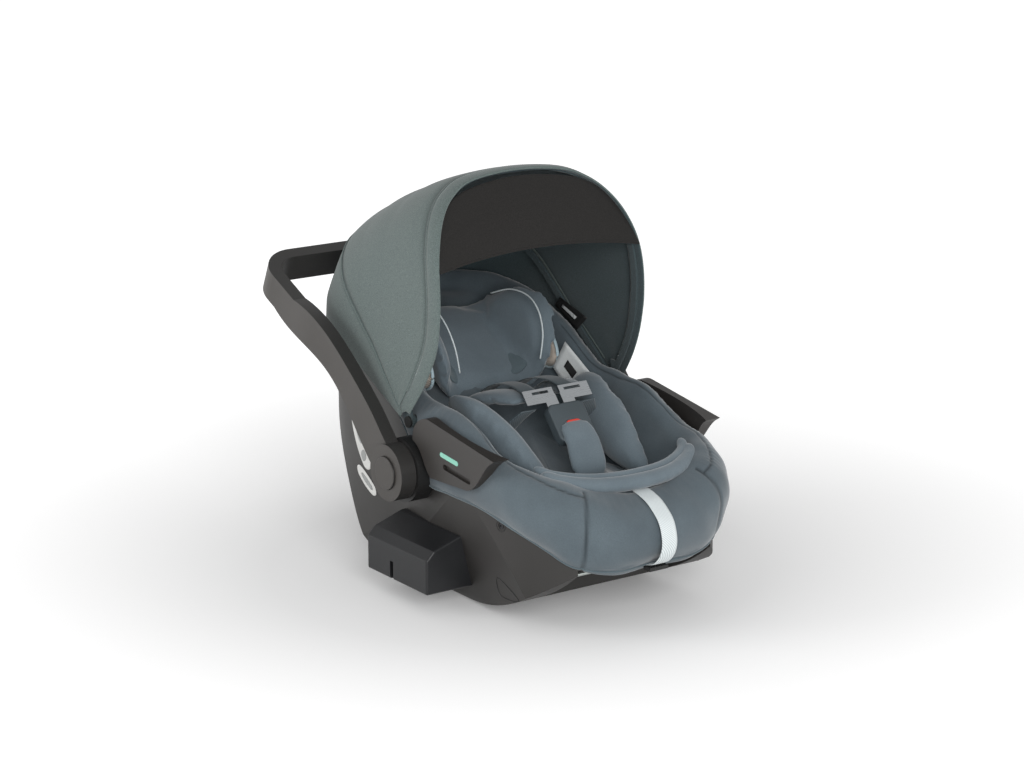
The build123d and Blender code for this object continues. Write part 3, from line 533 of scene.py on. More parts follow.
# ---- seat cover ----
# One half of the cover's outline, from the middle of the foot end to the middle of the head end:
# (x, y) of its widest line, then its profile as (distance inwards, height), from the turned-in hem
# over the rim to the floor of the seat.
COVER_STATIONS = [
    ((0, -343),
     [(36, 86), (25, 98), (9, 113), (1, 133), (4, 152), (15, 167),
      (34, 178), (56, 186), (74, 172), (92, 156), (140, 146)]),
    ((68, -334),
     [(24, 86), (15, 97), (6, 113), (1, 136), (3, 157), (14, 174),
      (32, 186), (54, 193), (72, 182), (90, 162), (138, 148)]),
    ((126, -311),
     [(22, 100), (15, 106), (7, 120), (2, 145), (1, 166), (8, 186),
      (24, 201), (46, 208), (66, 202), (80, 180), (112, 150)]),
    ((160, -276),
     [(26, 122), (18, 127), (8, 139), (1, 156), (1, 174), (7, 194),
      (22, 210), (42, 216), (58, 209), (68, 184), (92, 152)]),
    ((179, -226),
     [(14, 146), (10, 150), (5, 158), (1, 171), (1, 186), (7, 204),
      (20, 219), (36, 224), (50, 215), (60, 188), (84, 152)]),
    ((184, -168),
     [(9, 161), (6, 164), (3, 172), (2, 185), (4, 201), (9, 217),
      (20, 230), (34, 234), (46, 222), (56, 194), (82, 152)]),
    ((184, -96),
     [(8, 162), (5, 166), (3, 174), (3, 188), (6, 208), (9, 234),
      (19, 258), (34, 266), (46, 250), (56, 208), (82, 156)]),
    ((182, -32),
     [(8, 165), (5, 169), (3, 178), (4, 192), (6, 214), (8, 244),
      (18, 266), (32, 273), (43, 258), (52, 222), (76, 180)]),
    ((174, 22),
     [(8, 212), (5, 216), (3, 224), (2, 234), (3, 246), (6, 260),
      (14, 274), (26, 280), (38, 270), (48, 244), (72, 214)]),
    ((166, 90),
     [(8, 268), (5, 272), (2, 280), (1, 288), (2, 298), (5, 308),
      (12, 318), (24, 322), (34, 314), (46, 284), (70, 250)]),
    ((157, 170),
     [(8, 312), (5, 316), (2, 322), (1, 329), (2, 337), (5, 346),
      (12, 355), (24, 359), (34, 350), (46, 322), (70, 296)]),
    ((138, 256),
     [(8, 334), (5, 337), (2, 342), (1, 348), (2, 354), (5, 361),
      (12, 368), (24, 371), (34, 362), (46, 344), (68, 332)]),
    ((88, 325),
     [(8, 332), (5, 335), (2, 340), (1, 345), (2, 351), (5, 358),
      (12, 365), (24, 368), (34, 360), (44, 344), (64, 338)]),
    ((0, 346),
     [(8, 332), (5, 335), (2, 340), (1, 345), (2, 351), (5, 358),
      (12, 365), (24, 368), (34, 360), (44, 344), (64, 338)]),
]
COVER_COLS = 400
COVER_ROWS = 84


def cover_grid():
    half = np.array([place for place, _ in COVER_STATIONS], float)
    profiles = np.array([profile for _, profile in COVER_STATIONS], float)
    loop = np.vstack([half, (half * [-1, 1])[-2:0:-1]])
    every = np.concatenate([profiles, profiles[-2:0:-1]])
    outline = spline(loop, COVER_COLS, True)
    profile = spline(every, COVER_COLS, True)
    tangent = np.roll(outline, -1, 0) - np.roll(outline, 1, 0)
    tangent /= np.linalg.norm(tangent, axis=1, keepdims=True)
    inward = np.stack([-tangent[:, 1], tangent[:, 0]], 1)
    rows = spline(profile.transpose(1, 0, 2), COVER_ROWS)
    places = outline[None] + inward[None] * rows[..., :1]
    return np.concatenate([places, rows[..., 1:]], 2)


def groove(distance, half_width):
    """1 in the bottom of a seam, falling to 0 over half_width mm."""
    return np.exp(-(distance / half_width) ** 2)


def make_cover(m):
    grid = cover_grid()
    normal = normals_of(grid, True)
    if (normal[COVER_ROWS // 3, 0] * [0, -1, 0]).sum() < 0:
        normal = -normal
    u = np.arange(COVER_COLS)[None, :] * np.ones((COVER_ROWS, 1))
    v = np.arange(COVER_ROWS)[:, None] * np.ones((1, COVER_COLS)) / (COVER_ROWS - 1)
    wrapped = np.minimum(u, COVER_COLS - u) / COVER_COLS * 26     # station number, 0 at the foot end
    lean = 0.20 * (0.5 - v)
    side_seam = groove((wrapped - 1.72 - lean) * 62, 2.6) * (v < 0.66)
    rim_line = 0.60 + 0.03 * np.clip(wrapped - 2, 0, 5)
    rim_seam = groove((v - rim_line) * 300, 2.4) * (wrapped > 1.75) * (wrapped < 9)
    seam = np.clip(side_seam + rim_seam, 0, 1)
    wave = np.sin(grid[..., 0] * 0.11 + grid[..., 2] * 0.07) * np.sin(grid[..., 1] * 0.083) * 0.9
    pucker = np.sin(u * 1.9) * groove((v - 0.60) * 300, 14) * 0.35
    grid = grid + normal * (wave * (v > 0.1) + pucker - 1.9 * seam)[..., None]
    # seam * 0.75 sets the painted shadow in the seam grooves the cover is pushed in along
    cover = slab("seat_cover_skin", grid, 0.0, 4.0, m["cover"], wrap=True, seam=seam * 0.75, cap_last=True)
    hold(cover, "root", "cover_fabric", "seat_cover")
    hem = grid[6] + normal[6] * 0.6
    piping = tube("cover_hem_piping", hem, 1.5, m["inner"], closed=True, sides=8)
    hold(piping, "root", "cover_fabric")
    return grid, normal


# ---- hood ----
HOOD_Y = (HOOD_PIVOT[1] - HUB_Y) / MM
HOOD_Z = HOOD_PIVOT[2] / MM
HOOD_HALF = 174.0
MID_ANGLE, REAR_ANGLE, HEM_ANGLE = 49.0, 65.0, 70.0
HOOD_RADII = [(-40, 334), (-12, 334), (6, 333), (20, 326), (35, 331), (49, 346), (58, 343), (65, 344), (70, 335)]
FRONT_EDGE = [(18, 222), (16, 226), (2, 250), (-32, 300), (-55, 350), (-63, 400), (-59, 450), (-43, 500), (-14, 550), (26, 600)]
BAND = 30.0
# Flat cuts of the fabric, as (across the seat's length, along the arch) in metres, and their areas
# in square metres. They come from the CAD panels' faces and arcs, not from the meshes made here.
ARCH_COLS = 181


def arch_half():
    """Half of the hood's arch as (x, radius share) pairs from a leg to the top; the shoulder grows with the radius."""
    steps = [(HOOD_HALF + 10, 0.045), (HOOD_HALF + 8, 0.14), (HOOD_HALF + 5, 0.25), (HOOD_HALF + 1, 0.38)]
    for a in (0, 14, 28, 42, 56, 72, 90):
        c, s = cos(radians(a)), sin(radians(a))
        steps.append((HOOD_HALF * max(c, 0) ** (2 / 2.8), 0.48 + 0.52 * s ** (2 / 2.8)))
    return steps


def arch_line(cols):
    half = arch_half()
    full = [(-x, r) for x, r in half] + [(x, r) for x, r in half[-2::-1]]
    return even(np.array(full) * [1, 330], cols) / [1, 330]


def hood_points(arch, angle):
    """Points of the hood's skin at angles behind the vertical, one for each arch point."""
    radius = np.interp(angle, *np.array(HOOD_RADII, float).T)
    a = np.radians(angle)
    r = arch[:, 1] * radius
    return np.stack([arch[:, 0], HOOD_Y + r * np.sin(a), HOOD_Z + r * np.cos(a)], -1)


def edge_angle(arch, behind):
    """The angle of each arch point where the skin passes behind mm behind the front edge."""
    z, y = np.array([(z, y) for y, z in FRONT_EDGE], float).T
    fine = spline(np.stack([z, y], 1), 200)
    low, high = np.full(len(arch), -62.0), np.full(len(arch), MID_ANGLE - 1.5)
    for _ in range(40):
        middle = (low + high) / 2
        p = hood_points(arch, middle)
        ahead = p[:, 1] < np.interp(p[:, 2], fine[:, 0], fine[:, 1]) + behind
        low, high = np.where(ahead, middle, low), np.where(ahead, high, middle)
    return (low + high) / 2


def make_hood(m):
    arch = arch_line(ARCH_COLS)
    front, seam_at = edge_angle(arch, 0), edge_angle(arch, BAND)
    rows = 15
    share = np.linspace(0, 1, rows)[:, None]
    band = np.stack([hood_points(arch, front + (seam_at - front) * s) for s in share[:, 0]])
    crown = np.sin(pi * share) ** 0.6 * np.ones((1, ARCH_COLS))
    taper = np.clip((arch[:, 1] - 0.045) / 0.2, 0.15, 1)[None]
    flip = 1 if (normals_of(band)[rows // 2, ARCH_COLS // 2] * [0, 0, 1]).sum() > 0 else -1
    if flip < 0:
        band = band[:, ::-1]
    stitch = groove((share - 0.9) * 30, 1.2) * np.ones((1, ARCH_COLS))
    # stitch * 0.35 paints shadow along the band's stitch groove
    piece = slab("hood_band_padded", band, (0.4 + 2.4 * crown - 1.2 * stitch) * taper, (1.2 + 2.2 * crown) * taper, m["hood"],
                 seam=stitch * 0.35, lining=m["lining"])
    hold(piece, "hood_front", "hood_fabric", "hood_front_band")
    rows = 46
    share = np.linspace(0, 1, rows)[:, None]
    start = seam_at + 0.05
    panel = np.stack([hood_points(arch, start + (MID_ANGLE - start) * s) for s in share[:, 0]])
    if flip < 0:
        panel = panel[:, ::-1]
    height = np.clip((arch[:, 1] - 0.3) / 0.5, 0, 1)[None]
    bubble = -3.0 * np.sin(pi * share) ** 1.5 * height
    normal = normals_of(panel)
    ripple = np.sin(np.arange(ARCH_COLS)[None] * 0.21 + share * 5) * np.sin(pi * share) * 0.6
    panel = panel + normal * (bubble * 0.4 + ripple)[..., None]
    edges = np.clip(groove(share * 60, 2.0) + groove((1 - share) * 60, 2.0), 0, 1) * np.ones((1, ARCH_COLS))
    # edges * 0.55 paints shadow along the sheet's seams
    piece = slab("hood_front_sheet", panel, 0.9 - 1.6 * edges, 0.5, m["hood"], seam=edges * 0.55, lining=m["lining"])
    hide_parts("hood_front_panel")
    at((0, 230, 460)).tolist()
    at((0, -10, 545)).tolist()
    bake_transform(piece)
    rear_rows = 24
    share = np.linspace(0, 1, rear_rows)[:, None]
    rear = np.stack([hood_points(arch, np.full(ARCH_COLS, MID_ANGLE + 0.05 + (HEM_ANGLE - MID_ANGLE - 0.05) * s)) for s in share[:, 0]])
    if flip < 0:
        rear = rear[:, ::-1]
    edges = groove(share * 60, 2.0) * np.ones((1, ARCH_COLS))
    # edges * 0.5 paints shadow along the sheet's front seam
    piece = slab("hood_rear_sheet", rear, 0.8 - 1.4 * edges, 0.5, m["hood"], seam=edges * 0.5, lining=m["lining"])
    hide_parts("hood_rear_panel")
    at((0, 322, 380)).tolist()
    at((0, 268, 470)).tolist()
    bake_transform(piece)
    low = 6
    for name, angles, body in (("hood_mid_seam_bead", np.full(ARCH_COLS, MID_ANGLE), "hood_middle"),
                               ("hood_band_seam_bead", seam_at, "hood_front")):
        path = hood_points(arch, angles)[low:-low]
        hold(tube(name, path, 1.3, m["hood"], sides=8), body, "hood_fabric")
    sewn = hood_points(arch, front + (seam_at - front) * 0.82)[12:-12]
    outward = sewn - np.array([0, HOOD_Y, HOOD_Z])
    outward[:, 0] *= 0.6
    outward /= np.linalg.norm(outward, axis=1, keepdims=True)
    add_stitches("hood_band_stitches", sewn + outward * 2.0, "hood_front", m["hood_thread"])
    return arch, front


VISOR_HALF = 168.0


def make_visor(m):
    foot, top = np.array([-57.0, 464.0]), np.array([4.0, 570.0])
    height = np.linalg.norm(top - foot)
    rise = (top - foot) / height
    half = [(VISOR_HALF, 0), (164, 30), (152, 60), (128, 90), (98, 107), (52, 117), (0, 121)]
    arch = np.array([(-x, s) for x, s in half] + half[-2::-1], float)
    cols, rows = 121, 26
    upper = even(arch, cols)
    lower = np.stack([upper[:, 0], 17 * (1 - (upper[:, 0] / VISOR_HALF) ** 2) - 1], 1)
    upper[:, 1] = np.maximum(upper[:, 1], lower[:, 1] + 0.8)
    share = np.linspace(0, 1, rows)[:, None]
    flat = lower[None] + (upper - lower)[None] * share[..., None]
    out = 9.0 * np.sin(pi * share) * np.cos(flat[..., 0] / VISOR_HALF * pi / 2) - 1.2 * groove((share - 0.58) * 60, 1.5)
    grid = np.stack([flat[..., 0], foot[0] + rise[0] * flat[..., 1] - rise[1] * out * 0.5,
                     foot[1] + rise[1] * flat[..., 1] + rise[0] * out * 0.5], -1)
    piece = slab("visor_sheet", grid, 0.5, 0.5, m["visor"])
    hold(piece, "visor", "visor_fabric", "sun_visor")
    edge = tube("visor_binding", grid[0], 1.3, m["visor"], sides=8)
    hold(edge, "visor", "visor_fabric")


# ---- padded inlays ----
BACK_Y, BACK_Z, BACK_SLOPE = -20.0, 183.0, radians(30.3)


def back_frame(points):
    """Points given as (across, up the back, off the back) in mm."""
    p = np.asarray(points, float)
    y = BACK_Y + p[..., 1] * cos(BACK_SLOPE) - p[..., 2] * sin(BACK_SLOPE)
    z = BACK_Z + p[..., 1] * sin(BACK_SLOPE) + p[..., 2] * cos(BACK_SLOPE)
    return np.stack([p[..., 0], y, z], -1)


def cushion(name, outline, thick, material, place, rings=14, cols=96, dome=0.55, flat_back=0.35, dent=None):
    """A crowned closed pad over a closed outline in a plane; place turns (a, b, height) into the seat's mm."""
    rim = even(outline, cols, True)
    middle = rim.mean(0)
    share = np.sin(np.linspace(0, pi / 2, rings))[:, None, None]
    flat = rim[None] + (middle - rim)[None] * share
    rise = (1 - (1 - share[..., 0]) ** 2) ** dome * np.ones((1, cols))
    if dent is not None:
        rise = rise * dent(flat)
    top = np.concatenate([flat, (rise * thick)[..., None]], 2)
    low = np.concatenate([flat, (-rise * thick * flat_back)[..., None]], 2)
    verts = np.concatenate([top.reshape(-1, 3), low[1:].reshape(-1, 3)])
    size = rings * cols
    faces = quads(rings, cols, True)
    for r in range(rings - 1):
        for c in range(cols):
            d = (c + 1) % cols
            a, b = (c, d) if r == 0 else (size + (r - 1) * cols + c, size + (r - 1) * cols + d)
            faces.append((b, a, size + r * cols + c, size + r * cols + d))
    for start in ((rings - 1) * cols, size + (rings - 2) * cols):
        centre = len(verts)
        verts = np.vstack([verts, verts[start:start + cols].mean(0)])
        faces += [(start + c, start + (c + 1) % cols, centre) for c in range(cols)]
    piece = new_piece(name, at(place(verts)), faces, material)
    weld = bmesh.new()
    weld.from_mesh(piece.data)
    bmesh.ops.remove_doubles(weld, verts=weld.verts, dist=0.02 * MM)
    weld.to_mesh(piece.data)
    weld.free()
    return piece, place(np.concatenate([rim, np.zeros((cols, 1))], 1))


PILLOW_FLAT, PILLOW_BEND, PILLOW_TURN = 46.0, 40.0, radians(78)


def pillow_place(points):
    """Bend a flat pillow, given as (across, up the back, thickness), into a U round the head."""
    p = np.asarray(points, float)
    side, reach = np.sign(p[..., 0]), np.abs(p[..., 0])
    turn = np.clip((reach - PILLOW_FLAT) / PILLOW_BEND, 0, PILLOW_TURN)
    past = np.maximum(reach - PILLOW_FLAT - PILLOW_BEND * PILLOW_TURN, 0)
    across = np.minimum(reach, PILLOW_FLAT) + PILLOW_BEND * np.sin(turn) + past * cos(PILLOW_TURN)
    off = PILLOW_BEND * (1 - np.cos(turn)) + past * sin(PILLOW_TURN)
    across = across - p[..., 2] * np.sin(turn)
    off = off + p[..., 2] * np.cos(turn)
    return back_frame(np.stack([side * across, p[..., 1], off + 6], -1))


def floor_height(x, y):
    """Height of the seating surface of the insert."""
    line = np.array([(-300, 190), (-262, 170), (-200, 152), (-137, 148), (-80, 154), (-20, 186), (70, 238), (170, 296)], float)
    rise = 42 * np.clip((np.abs(x) - 62) / 56, 0, 1.3) ** 1.7
    return np.interp(y, line[:, 0], line[:, 1]) + rise


def floor_place(points):
    p = np.asarray(points, float)
    return np.stack([p[..., 0], p[..., 1], floor_height(p[..., 0], p[..., 1]) + p[..., 2]], -1)


def side_place(x_low, x_high, z_low=170.0, z_high=280.0):
    """Place (y, z, thickness) on an upright plane at the side that leans out from x_low to x_high."""
    def place(points):
        p = np.asarray(points, float)
        share = (p[..., 1] - z_low) / (z_high - z_low)
        x = x_low + (x_high - x_low) * share
        return np.stack([x - np.sign(x_low) * p[..., 2], p[..., 0], p[..., 1] + 0.25 * p[..., 2]], -1)
    return place


def add_stitches(name, path, body, material, pitch=3.4, length=2.3, radius=0.32):
    """A row of sewn stitches along a path in mm, laid out by Geometry Nodes and turned to plain mesh."""
    curve = bpy.data.curves.new(name + "_path", "CURVE")
    curve.dimensions = "3D"
    line = curve.splines.new("POLY")
    line.points.add(len(path) - 1)
    line.points.foreach_set("co", np.concatenate([at(path), np.ones((len(path), 1))], 1).ravel())
    piece = bpy.data.objects.new(name + "_curve", curve)
    bpy.context.collection.objects.link(piece)
    group = bpy.data.node_groups.new(name + "_nodes", "GeometryNodeTree")
    group.interface.new_socket("Geometry", in_out="INPUT", socket_type="NodeSocketGeometry")
    for label, value in (("Pitch", pitch * MM), ("Length", length * MM), ("Radius", radius * MM)):
        socket = group.interface.new_socket(label, in_out="INPUT", socket_type="NodeSocketFloat")
        socket.default_value = value
    group.interface.new_socket("Geometry", in_out="OUTPUT", socket_type="NodeSocketGeometry")
    nodes, link = group.nodes, group.links.new
    source, result = nodes.new("NodeGroupInput"), nodes.new("NodeGroupOutput")
    sample = nodes.new("GeometryNodeCurveToPoints")
    sample.mode = "LENGTH"
    stitch = nodes.new("GeometryNodeMeshCylinder")
    stitch.inputs["Vertices"].default_value = 6
    place = nodes.new("GeometryNodeInstanceOnPoints")
    real = nodes.new("GeometryNodeRealizeInstances")
    paint = nodes.new("GeometryNodeSetMaterial")
    paint.inputs["Material"].default_value = material
    link(source.outputs["Geometry"], sample.inputs["Curve"])
    link(source.outputs["Pitch"], sample.inputs["Length"])
    link(source.outputs["Radius"], stitch.inputs["Radius"])
    link(source.outputs["Length"], stitch.inputs["Depth"])
    link(sample.outputs["Points"], place.inputs["Points"])
    link(sample.outputs["Rotation"], place.inputs["Rotation"])
    link(stitch.outputs["Mesh"], place.inputs["Instance"])
    link(place.outputs["Instances"], real.inputs["Geometry"])
    link(real.outputs["Geometry"], paint.inputs["Geometry"])
    link(paint.outputs["Geometry"], result.inputs["Geometry"])
    modifier = piece.modifiers.new("stitches", "NODES")
    modifier.node_group = group
    mesh = bpy.data.meshes.new_from_object(piece.evaluated_get(bpy.context.evaluated_depsgraph_get()))
    bpy.data.objects.remove(piece)
    row = bpy.data.objects.new(name, mesh)
    bpy.context.collection.objects.link(row)
    if not mesh.materials:
        mesh.materials.append(material)
    return hold(row, body, None)


def make_inlays(m):
    outline = [(0, 98), (46, 96), (96, 100), (146, 116), (174, 150), (178, 186), (160, 228), (124, 262), (72, 286), (0, 294)]
    outline += [(-x, s) for x, s in outline[-2:0:-1]]
    pillow, _ = cushion("head_pillow_shell", outline, 20, m["pad"], pillow_place, rings=18, cols=150, dome=0.34, flat_back=0.25)
    pillow = inflate(pillow, 0.005, 0.005)
    hold(pillow, "headrest", "cover_fabric", "head_pillow", "pillow_wing_right", "pillow_wing_left")
    for side, word in ((-1, "right"), (1, "left")):
        wing = even(np.array([(118, 108), (148, 128), (166, 156), (168, 188), (150, 224), (118, 252)]) * [side, 1], 80)
        edge = pillow_place(np.concatenate([wing, np.full((80, 1), 20.0)], 1))
        hold(tube("head_pillow_piping_" + word, edge, 1.1, m["piping"], sides=8), "headrest", "cover_fabric")
    hollow = [(0, 118), (50, 118), (92, 124), (122, 150), (130, 186), (112, 222), (70, 246), (0, 252)]
    hollow += [(-x, s) for x, s in hollow[-2:0:-1]]
    liner, _ = cushion("head_pillow_inner", hollow, 9, m["inner"],
                       lambda p: pillow_place(np.asarray(p) + [0, 0, 15]), rings=14, cols=120, dome=0.5)
    liner = subdivide(liner)
    hold(liner, "headrest", "cover_fabric")
    for side, word in ((-1, "right"), (1, "left")):
        ellipse = [(180 + 68 * cos(a), 40 + 34 * sin(a)) for a in np.linspace(0, 2 * pi, 16, endpoint=False)]
        lay = lambda p, side=side: back_frame(np.stack([side * (108 + p[..., 2]), p[..., 0], p[..., 1]], -1))
        panel, rim = cushion("mesh_panel_sewn_" + word, ellipse, 2.2, m["mesh"], lay, rings=8, cols=80, flat_back=0.5)
        hold(panel, "headrest", "mesh_fabric", "mesh_panel_" + word)
        hold(tube("mesh_binding_" + word, rim, 2.6, m["binding"], closed=True, sides=8, flat=0.7), "headrest", "mesh_fabric")
    leaf = [(0, -286), (60, -278), (104, -254), (122, -228), (112, -186), (98, -120), (86, -50), (66, 6), (0, 20)]
    leaf += [(-x, y) for x, y in leaf[-2:0:-1]]
    base, _ = cushion("insert_leaf", leaf, 13, m["pad"], floor_place, rings=16, cols=140, dome=0.5, flat_back=0.15)
    base = inflate(base, 0.005, 0.004)
    hold(base, "root", "cover_fabric", "insert_base")
    lip_path = even([(-124, -226, 214), (-108, -250, 207), (-62, -274, 201), (0, -284, 200), (62, -274, 201), (108, -250, 207),
                     (124, -226, 214)], 90)
    reach = np.linspace(-1, 1, 90)
    swell = np.sqrt(np.clip(1 - (np.clip(np.abs(reach) - 0.9, 0, 1) / 0.1) ** 2, 0.06, 1))
    lip = tube("insert_lip_roll", lip_path, 12.5 * swell, m["pad"], sides=20, flat=0.85)
    lip = inflate(lip, 0.004, 0.003)
    hold(lip, "root", "cover_fabric", "insert_front_lip")
    upper = lip_path + [0, 14, 6.5]
    roll = subdivide(tube("insert_lip_upper_roll", upper, 7.5 * swell, m["pad"], sides=14, flat=0.9))
    hold(roll, "root", "cover_fabric")
    for side, word in ((-1, "right"), (1, "left")):
        bolster = [(-196, 178), (-168, 206), (-126, 240), (-78, 264), (-28, 278), (10, 268), (14, 240), (-26, 212), (-84, 184),
                   (-140, 168), (-180, 166)]
        pad, _ = cushion("insert_side_bolster_" + word, bolster, 30, m["pad"], side_place(side * 84, side * 118), rings=16, cols=120,
                         dome=0.5, flat_back=0.2)
        pad = inflate(pad, 0.005, 0.006)
        hold(pad, "root", "cover_fabric", "insert_side_pad_" + word)


# ---- harness ----
BUCKLE_Y, BUCKLE_Z, BUCKLE_LEAN = -124.0, 243.0, radians(49)


def buckle_frame(points):
    """Points given as (across, along the buckle, out of its face) in mm."""
    p = np.asarray(points, float)
    y = BUCKLE_Y + p[..., 1] * cos(BUCKLE_LEAN) - p[..., 2] * sin(BUCKLE_LEAN)
    z = BUCKLE_Z + p[..., 1] * sin(BUCKLE_LEAN) + p[..., 2] * cos(BUCKLE_LEAN)
    return np.stack([p[..., 0], y, z], -1)


def strap(name, path, width, thick, material, x_shift=None, cols=9, rows=60):
    """Flat webbing along a path of (x, y, z) points in mm; x_shift is not used."""
    line = even(path, rows)
    across = np.linspace(-width / 2, width / 2, cols)
    grid = np.repeat(line[:, None], cols, 1)
    grid[..., 0] += across[None]
    edge = 1 - np.abs(np.linspace(-1, 1, cols)) ** 6 * 0.5
    return slab(name, grid, thick / 2 * edge[None], thick / 2 * edge[None], material)


def make_harness(m):
    pad_outline = [(0, -84), (24, -82), (31, -60), (29, -26), (26, -8), (20, 0), (0, 2)]
    pad_outline += [(-x, y) for x, y in pad_outline[-2:0:-1]]
    pad, _ = cushion("crotch_pad_cover", pad_outline, 12, m["pad"], buckle_frame_over, rings=14, cols=110, dome=0.45, flat_back=0.25)
    pad = inflate(pad, 0.004, 0.003)
    hold(pad, "root", "cover_fabric", "crotch_pad")
    foot = [(0, -196, 150), (0, -186, 166), (0, -172, 184), (0, -160, 200), (0, -148, 216)]
    hold(strap("crotch_webbing", foot, 25, 1.6, m["strap"]), "root", "harness_webbing", "crotch_strap")
    silver = [(0, -283, 188.4), (0, -300, 184.4), (0, -318.5, 177), (0, -341, 158.4), (0, -349.5, 134), (0, -346, 114), (0, -332, 98),
              (0, -314, 92)]
    hold(strap("adjuster_webbing_piece", silver, 25, 1.6, m["silver"], rows=90), "root", "adjuster_webbing", "adjuster_strap")
    for side, word in ((-1, "right"), (1, "left")):
        flip = np.array([side, 1, 1])
        path = np.array([(27, 60, 226), (27, 54, 238), (27, 34, 260), (28, 0, 277), (31, -46, 284), (33, -88, 277)]) * flip
        hold(strap("shoulder_webbing_" + word, path, 25, 1.6, m["strap"]), "tongue_" + word, "harness_webbing", "shoulder_strap_" + word)
        lap = np.array([(92, -40, 186), (80, -62, 214), (62, -84, 246), (50, -97, 262)]) * flip
        hold(strap("lap_webbing_" + word, lap, 25, 1.6, m["strap"]), "tongue_" + word, "harness_webbing", "lap_strap_" + word)
        spine = even(np.array([(60, 30, 244), (58, 0, 262), (50, -44, 272), (40, -80, 270)]) * flip, 60)
        rows, cols = 60, 25
        across = np.linspace(-1, 1, cols)
        share = np.linspace(0, 1, rows)[:, None]
        width = 25 + 3 * np.sin(pi * share) - 3 * share
        grid = spine[:, None] + across[None, :, None] * width[..., None] * np.array([1.0, 0, 0])
        grid[..., 2] -= 4.0 * across[None] ** 2
        crease = groove((share - 0.55 - 0.12 * across[None] * side) * 90, 5) * 1.6
        body = (1 - np.abs(across[None]) ** 4) ** 0.6 * np.clip(np.sin(pi * np.clip(share, 0.03, 0.97)) ** 0.3, 0.2, 1)
        pad = slab("shoulder_pad_sewn_" + word, grid, 1.2 + 5.5 * body - crease, 1.2 + 5.0 * body, m["pad"])
        pad = inflate(pad, 0.004, 0.004)
        hold(pad, "root", "cover_fabric", "shoulder_pad_" + word)


def buckle_frame_over(points):
    """The crotch pad's cover lies in front of the buckle and bends back to the seat below it."""
    p = np.array(points, float)
    p[..., 2] += 6.0
    p[..., 2] -= 10 * np.clip((-30 - p[..., 1]) / 60, 0, 1)
    return buckle_frame(p)


# ---- labels and stickers ----
def patch(name, corners, thick, material, body, slot, rows=8, cols=8, curl=0.0):
    """A thin flexible patch between four corners in mm, curled out by some mm in the middle."""
    a, b, c, d = np.asarray(corners, float)
    u, v = np.linspace(0, 1, cols)[None, :, None], np.linspace(0, 1, rows)[:, None, None]
    grid = (a * (1 - u) + b * u) * (1 - v) + (d * (1 - u) + c * u) * v
    n = np.cross(b - a, d - a)
    grid = grid + n / np.linalg.norm(n) * curl * np.sin(pi * u) * np.sin(pi * v)
    return hold(slab(name, grid, thick / 2, thick / 2, material), body, slot)


def part_of(corners, left, right, low, high, lift):
    """The corners of a smaller patch inside another one, lifted off it by some mm."""
    a, b, c, d = np.asarray(corners, float)
    n = np.cross(b - a, d - a)
    n /= np.linalg.norm(n)
    place = lambda u, v: (a * (1 - u) + b * u) * (1 - v) + (d * (1 - u) + c * u) * v + n * lift
    return [place(left, low), place(right, low), place(right, high), place(left, high)]


def make_labels(m):
    satin = [(115, 46, 307), (128, 0, 267), (116, 32, 229), (102, 57, 268)]
    patch("satin_care_label", satin, 0.5, m["label"], "root", "adjuster_webbing")
    for side in (-1, 1):
        patch("satin_label_shape", part_of(satin, 0.3, 0.7, 0.35, 0.62, side * 0.5), 0.3, m["print"], "root", "black_plastic")
    dark = [(158, 118, 353), (158, 51, 335), (158, 76, 312), (158, 131, 338)]
    patch("dark_woven_label", dark, 0.6, m["print"], "root", "black_plastic")
    for side in (-1, 1):
        patch("dark_label_shape", part_of(dark, 0.2, 0.75, 0.38, 0.6, side * 0.5), 0.3, m["label"], "root", "adjuster_webbing")


def on_shell(y, z, lift=0.3):
    """The point of the shell's -X side at (y, z) in mm, lifted off it by some mm."""
    shell = frame["nodes"]["seat_shell"]
    for step in range(30):
        start = Vector(at((-260, y - 2 * step, z)))
        hit, place, _, _ = shell.ray_cast(start, Vector((1, 0, 0)))
        if hit and place.x < 0:
            return (place.x / MM - lift, y - 2 * step, z)
    return (-170.0 - lift, y, z)


def stick_on(name, centre, size, tilt, material, lift=0.5, thick=0.35, cols=28, rows=28):
    """A rounded sticker laid on the side of the shell."""
    u, v = np.meshgrid(np.linspace(-1, 1, cols), np.linspace(-1, 1, rows))
    a, b = u * np.sqrt(1 - v ** 2 * 0.42), v * np.sqrt(1 - u ** 2 * 0.42)
    y = centre[0] + a * size[0] * cos(tilt) - b * size[1] * sin(tilt)
    z = centre[1] + a * size[0] * sin(tilt) + b * size[1] * cos(tilt)
    grid = np.array([[on_shell(y[i, j], z[i, j], lift) for j in range(cols)] for i in range(rows)])
    return hold(slab(name, grid, thick / 2, thick / 2, material), "root", "marker_plastic")


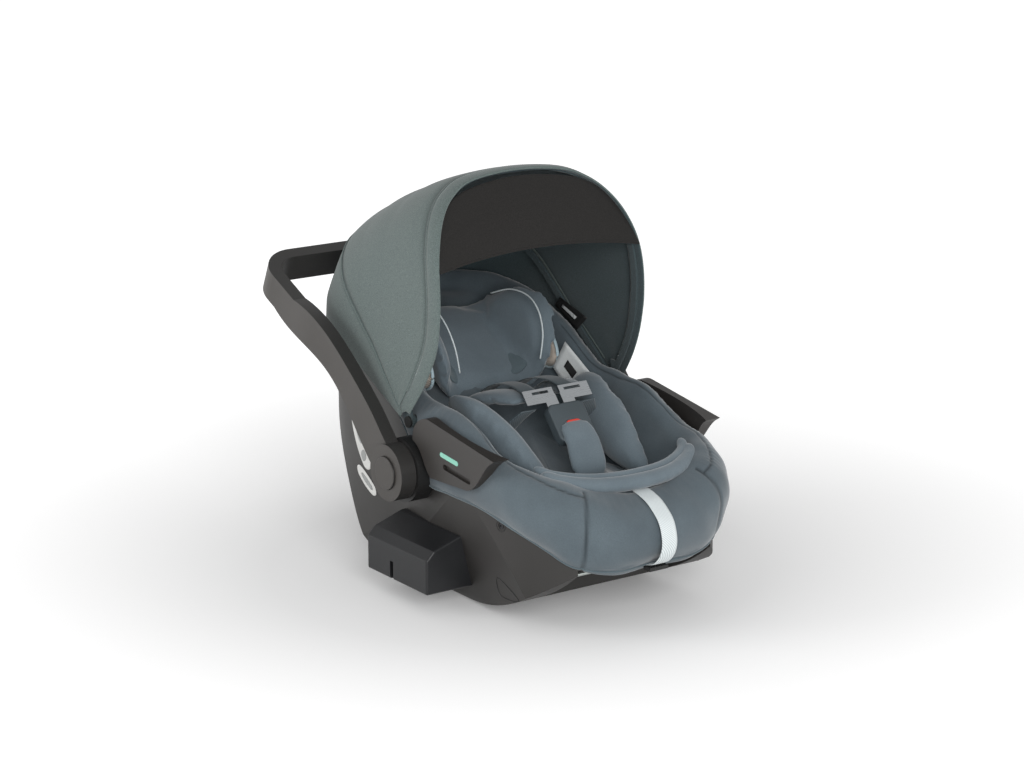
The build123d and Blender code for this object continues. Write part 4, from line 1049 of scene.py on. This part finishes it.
def make_shell_details(m):
    stick_on("blank_sticker_upper", (237, 245), (13, 25), radians(-32), m["sticker"])
    stick_on("blank_sticker_middle", (176, 173), (20, 46), radians(-38), m["sticker"])
    stick_on("blank_sticker_lower", (160, 117), (34, 10), radians(22), m["sticker"])
    for name, centre, size, tilt in (("sticker_shape_upper", (239, 248), (6, 11), -32), ("sticker_shape_middle", (184, 185), (9, 20), -38),
                                     ("sticker_shape_foot", (168, 152), (8, 8), -38), ("sticker_shape_lower", (158, 116), (20, 4), 22)):
        stick_on(name, centre, size, radians(tilt), m["shadow_print"], 0.9, cols=14, rows=14)
    corners = [(-178, 68), (-176, 36), (-226, 42)]
    middle = np.mean(corners, 0)
    loop = even([np.array(a) * 0.86 + middle * 0.14 for a in corners], 60, True)
    for side, word in ((-1, "right"), (1, "left")):
        path = np.array([on_shell(y, z, 0.1) for y, z in loop])
        ring = np.array([on_shell(-202 + 7.5 * cos(a), 146 + 7.5 * sin(a), 0.1) for a in np.linspace(0, 2 * pi, 40, endpoint=False)])
        if side > 0:
            path, ring = mirrored(path), mirrored(ring)
        hold(tube("triangle_mark_" + word, path, 0.7, m["black"], closed=True, sides=6), "root", "shell_plastic")
        hold(tube("screw_ring_" + word, ring, 0.6, m["black"], closed=True, sides=6), "root", "shell_plastic")


CAD_LOOKS = {
    "seat_shell": "shell", "seat_pan": "pan", "pivot_housing": "black", "lever_housing": "shell", "bar_brackets": "black",
    "handle_frame": "handle", "hub_button": "handle", "adapter_housing": "adapter", "adapter_latch": "adapter",
    "release_lever": "adapter", "belt_guide": "guide", "guide_markers": "mint", "foam_liner": "foam", "strap_end_clip": "black",
    "adjuster_housing": "black", "adjuster_button": "grey", "buckle_body": "grey", "buckle_button": "red", "buckle_tongue": "tongue",
    "front_bow": "lining", "middle_bow": "lining", "hood_pivot": "black", "front_anchor_bar": "bar", "rear_anchor_bar": "bar",
    "handle_axles": "bolt", "button_spring": "bolt", "shell_screws": "bolt", "crotch_anchor": "bolt",
}


def paint_cad(m):
    for name, piece in frame["nodes"].items():
        base = name.replace("_right", "").replace("_left", "")
        if base in CAD_LOOKS:
            piece.data.materials.clear()
            piece.data.materials.append(m[CAD_LOOKS[base]])


make_camera()
make_studio()
materials = make_materials()
paint_cad(materials)
make_cover(materials)
make_hood(materials)
make_visor(materials)
make_inlays(materials)
make_harness(materials)
make_labels(materials)
make_shell_details(materials)
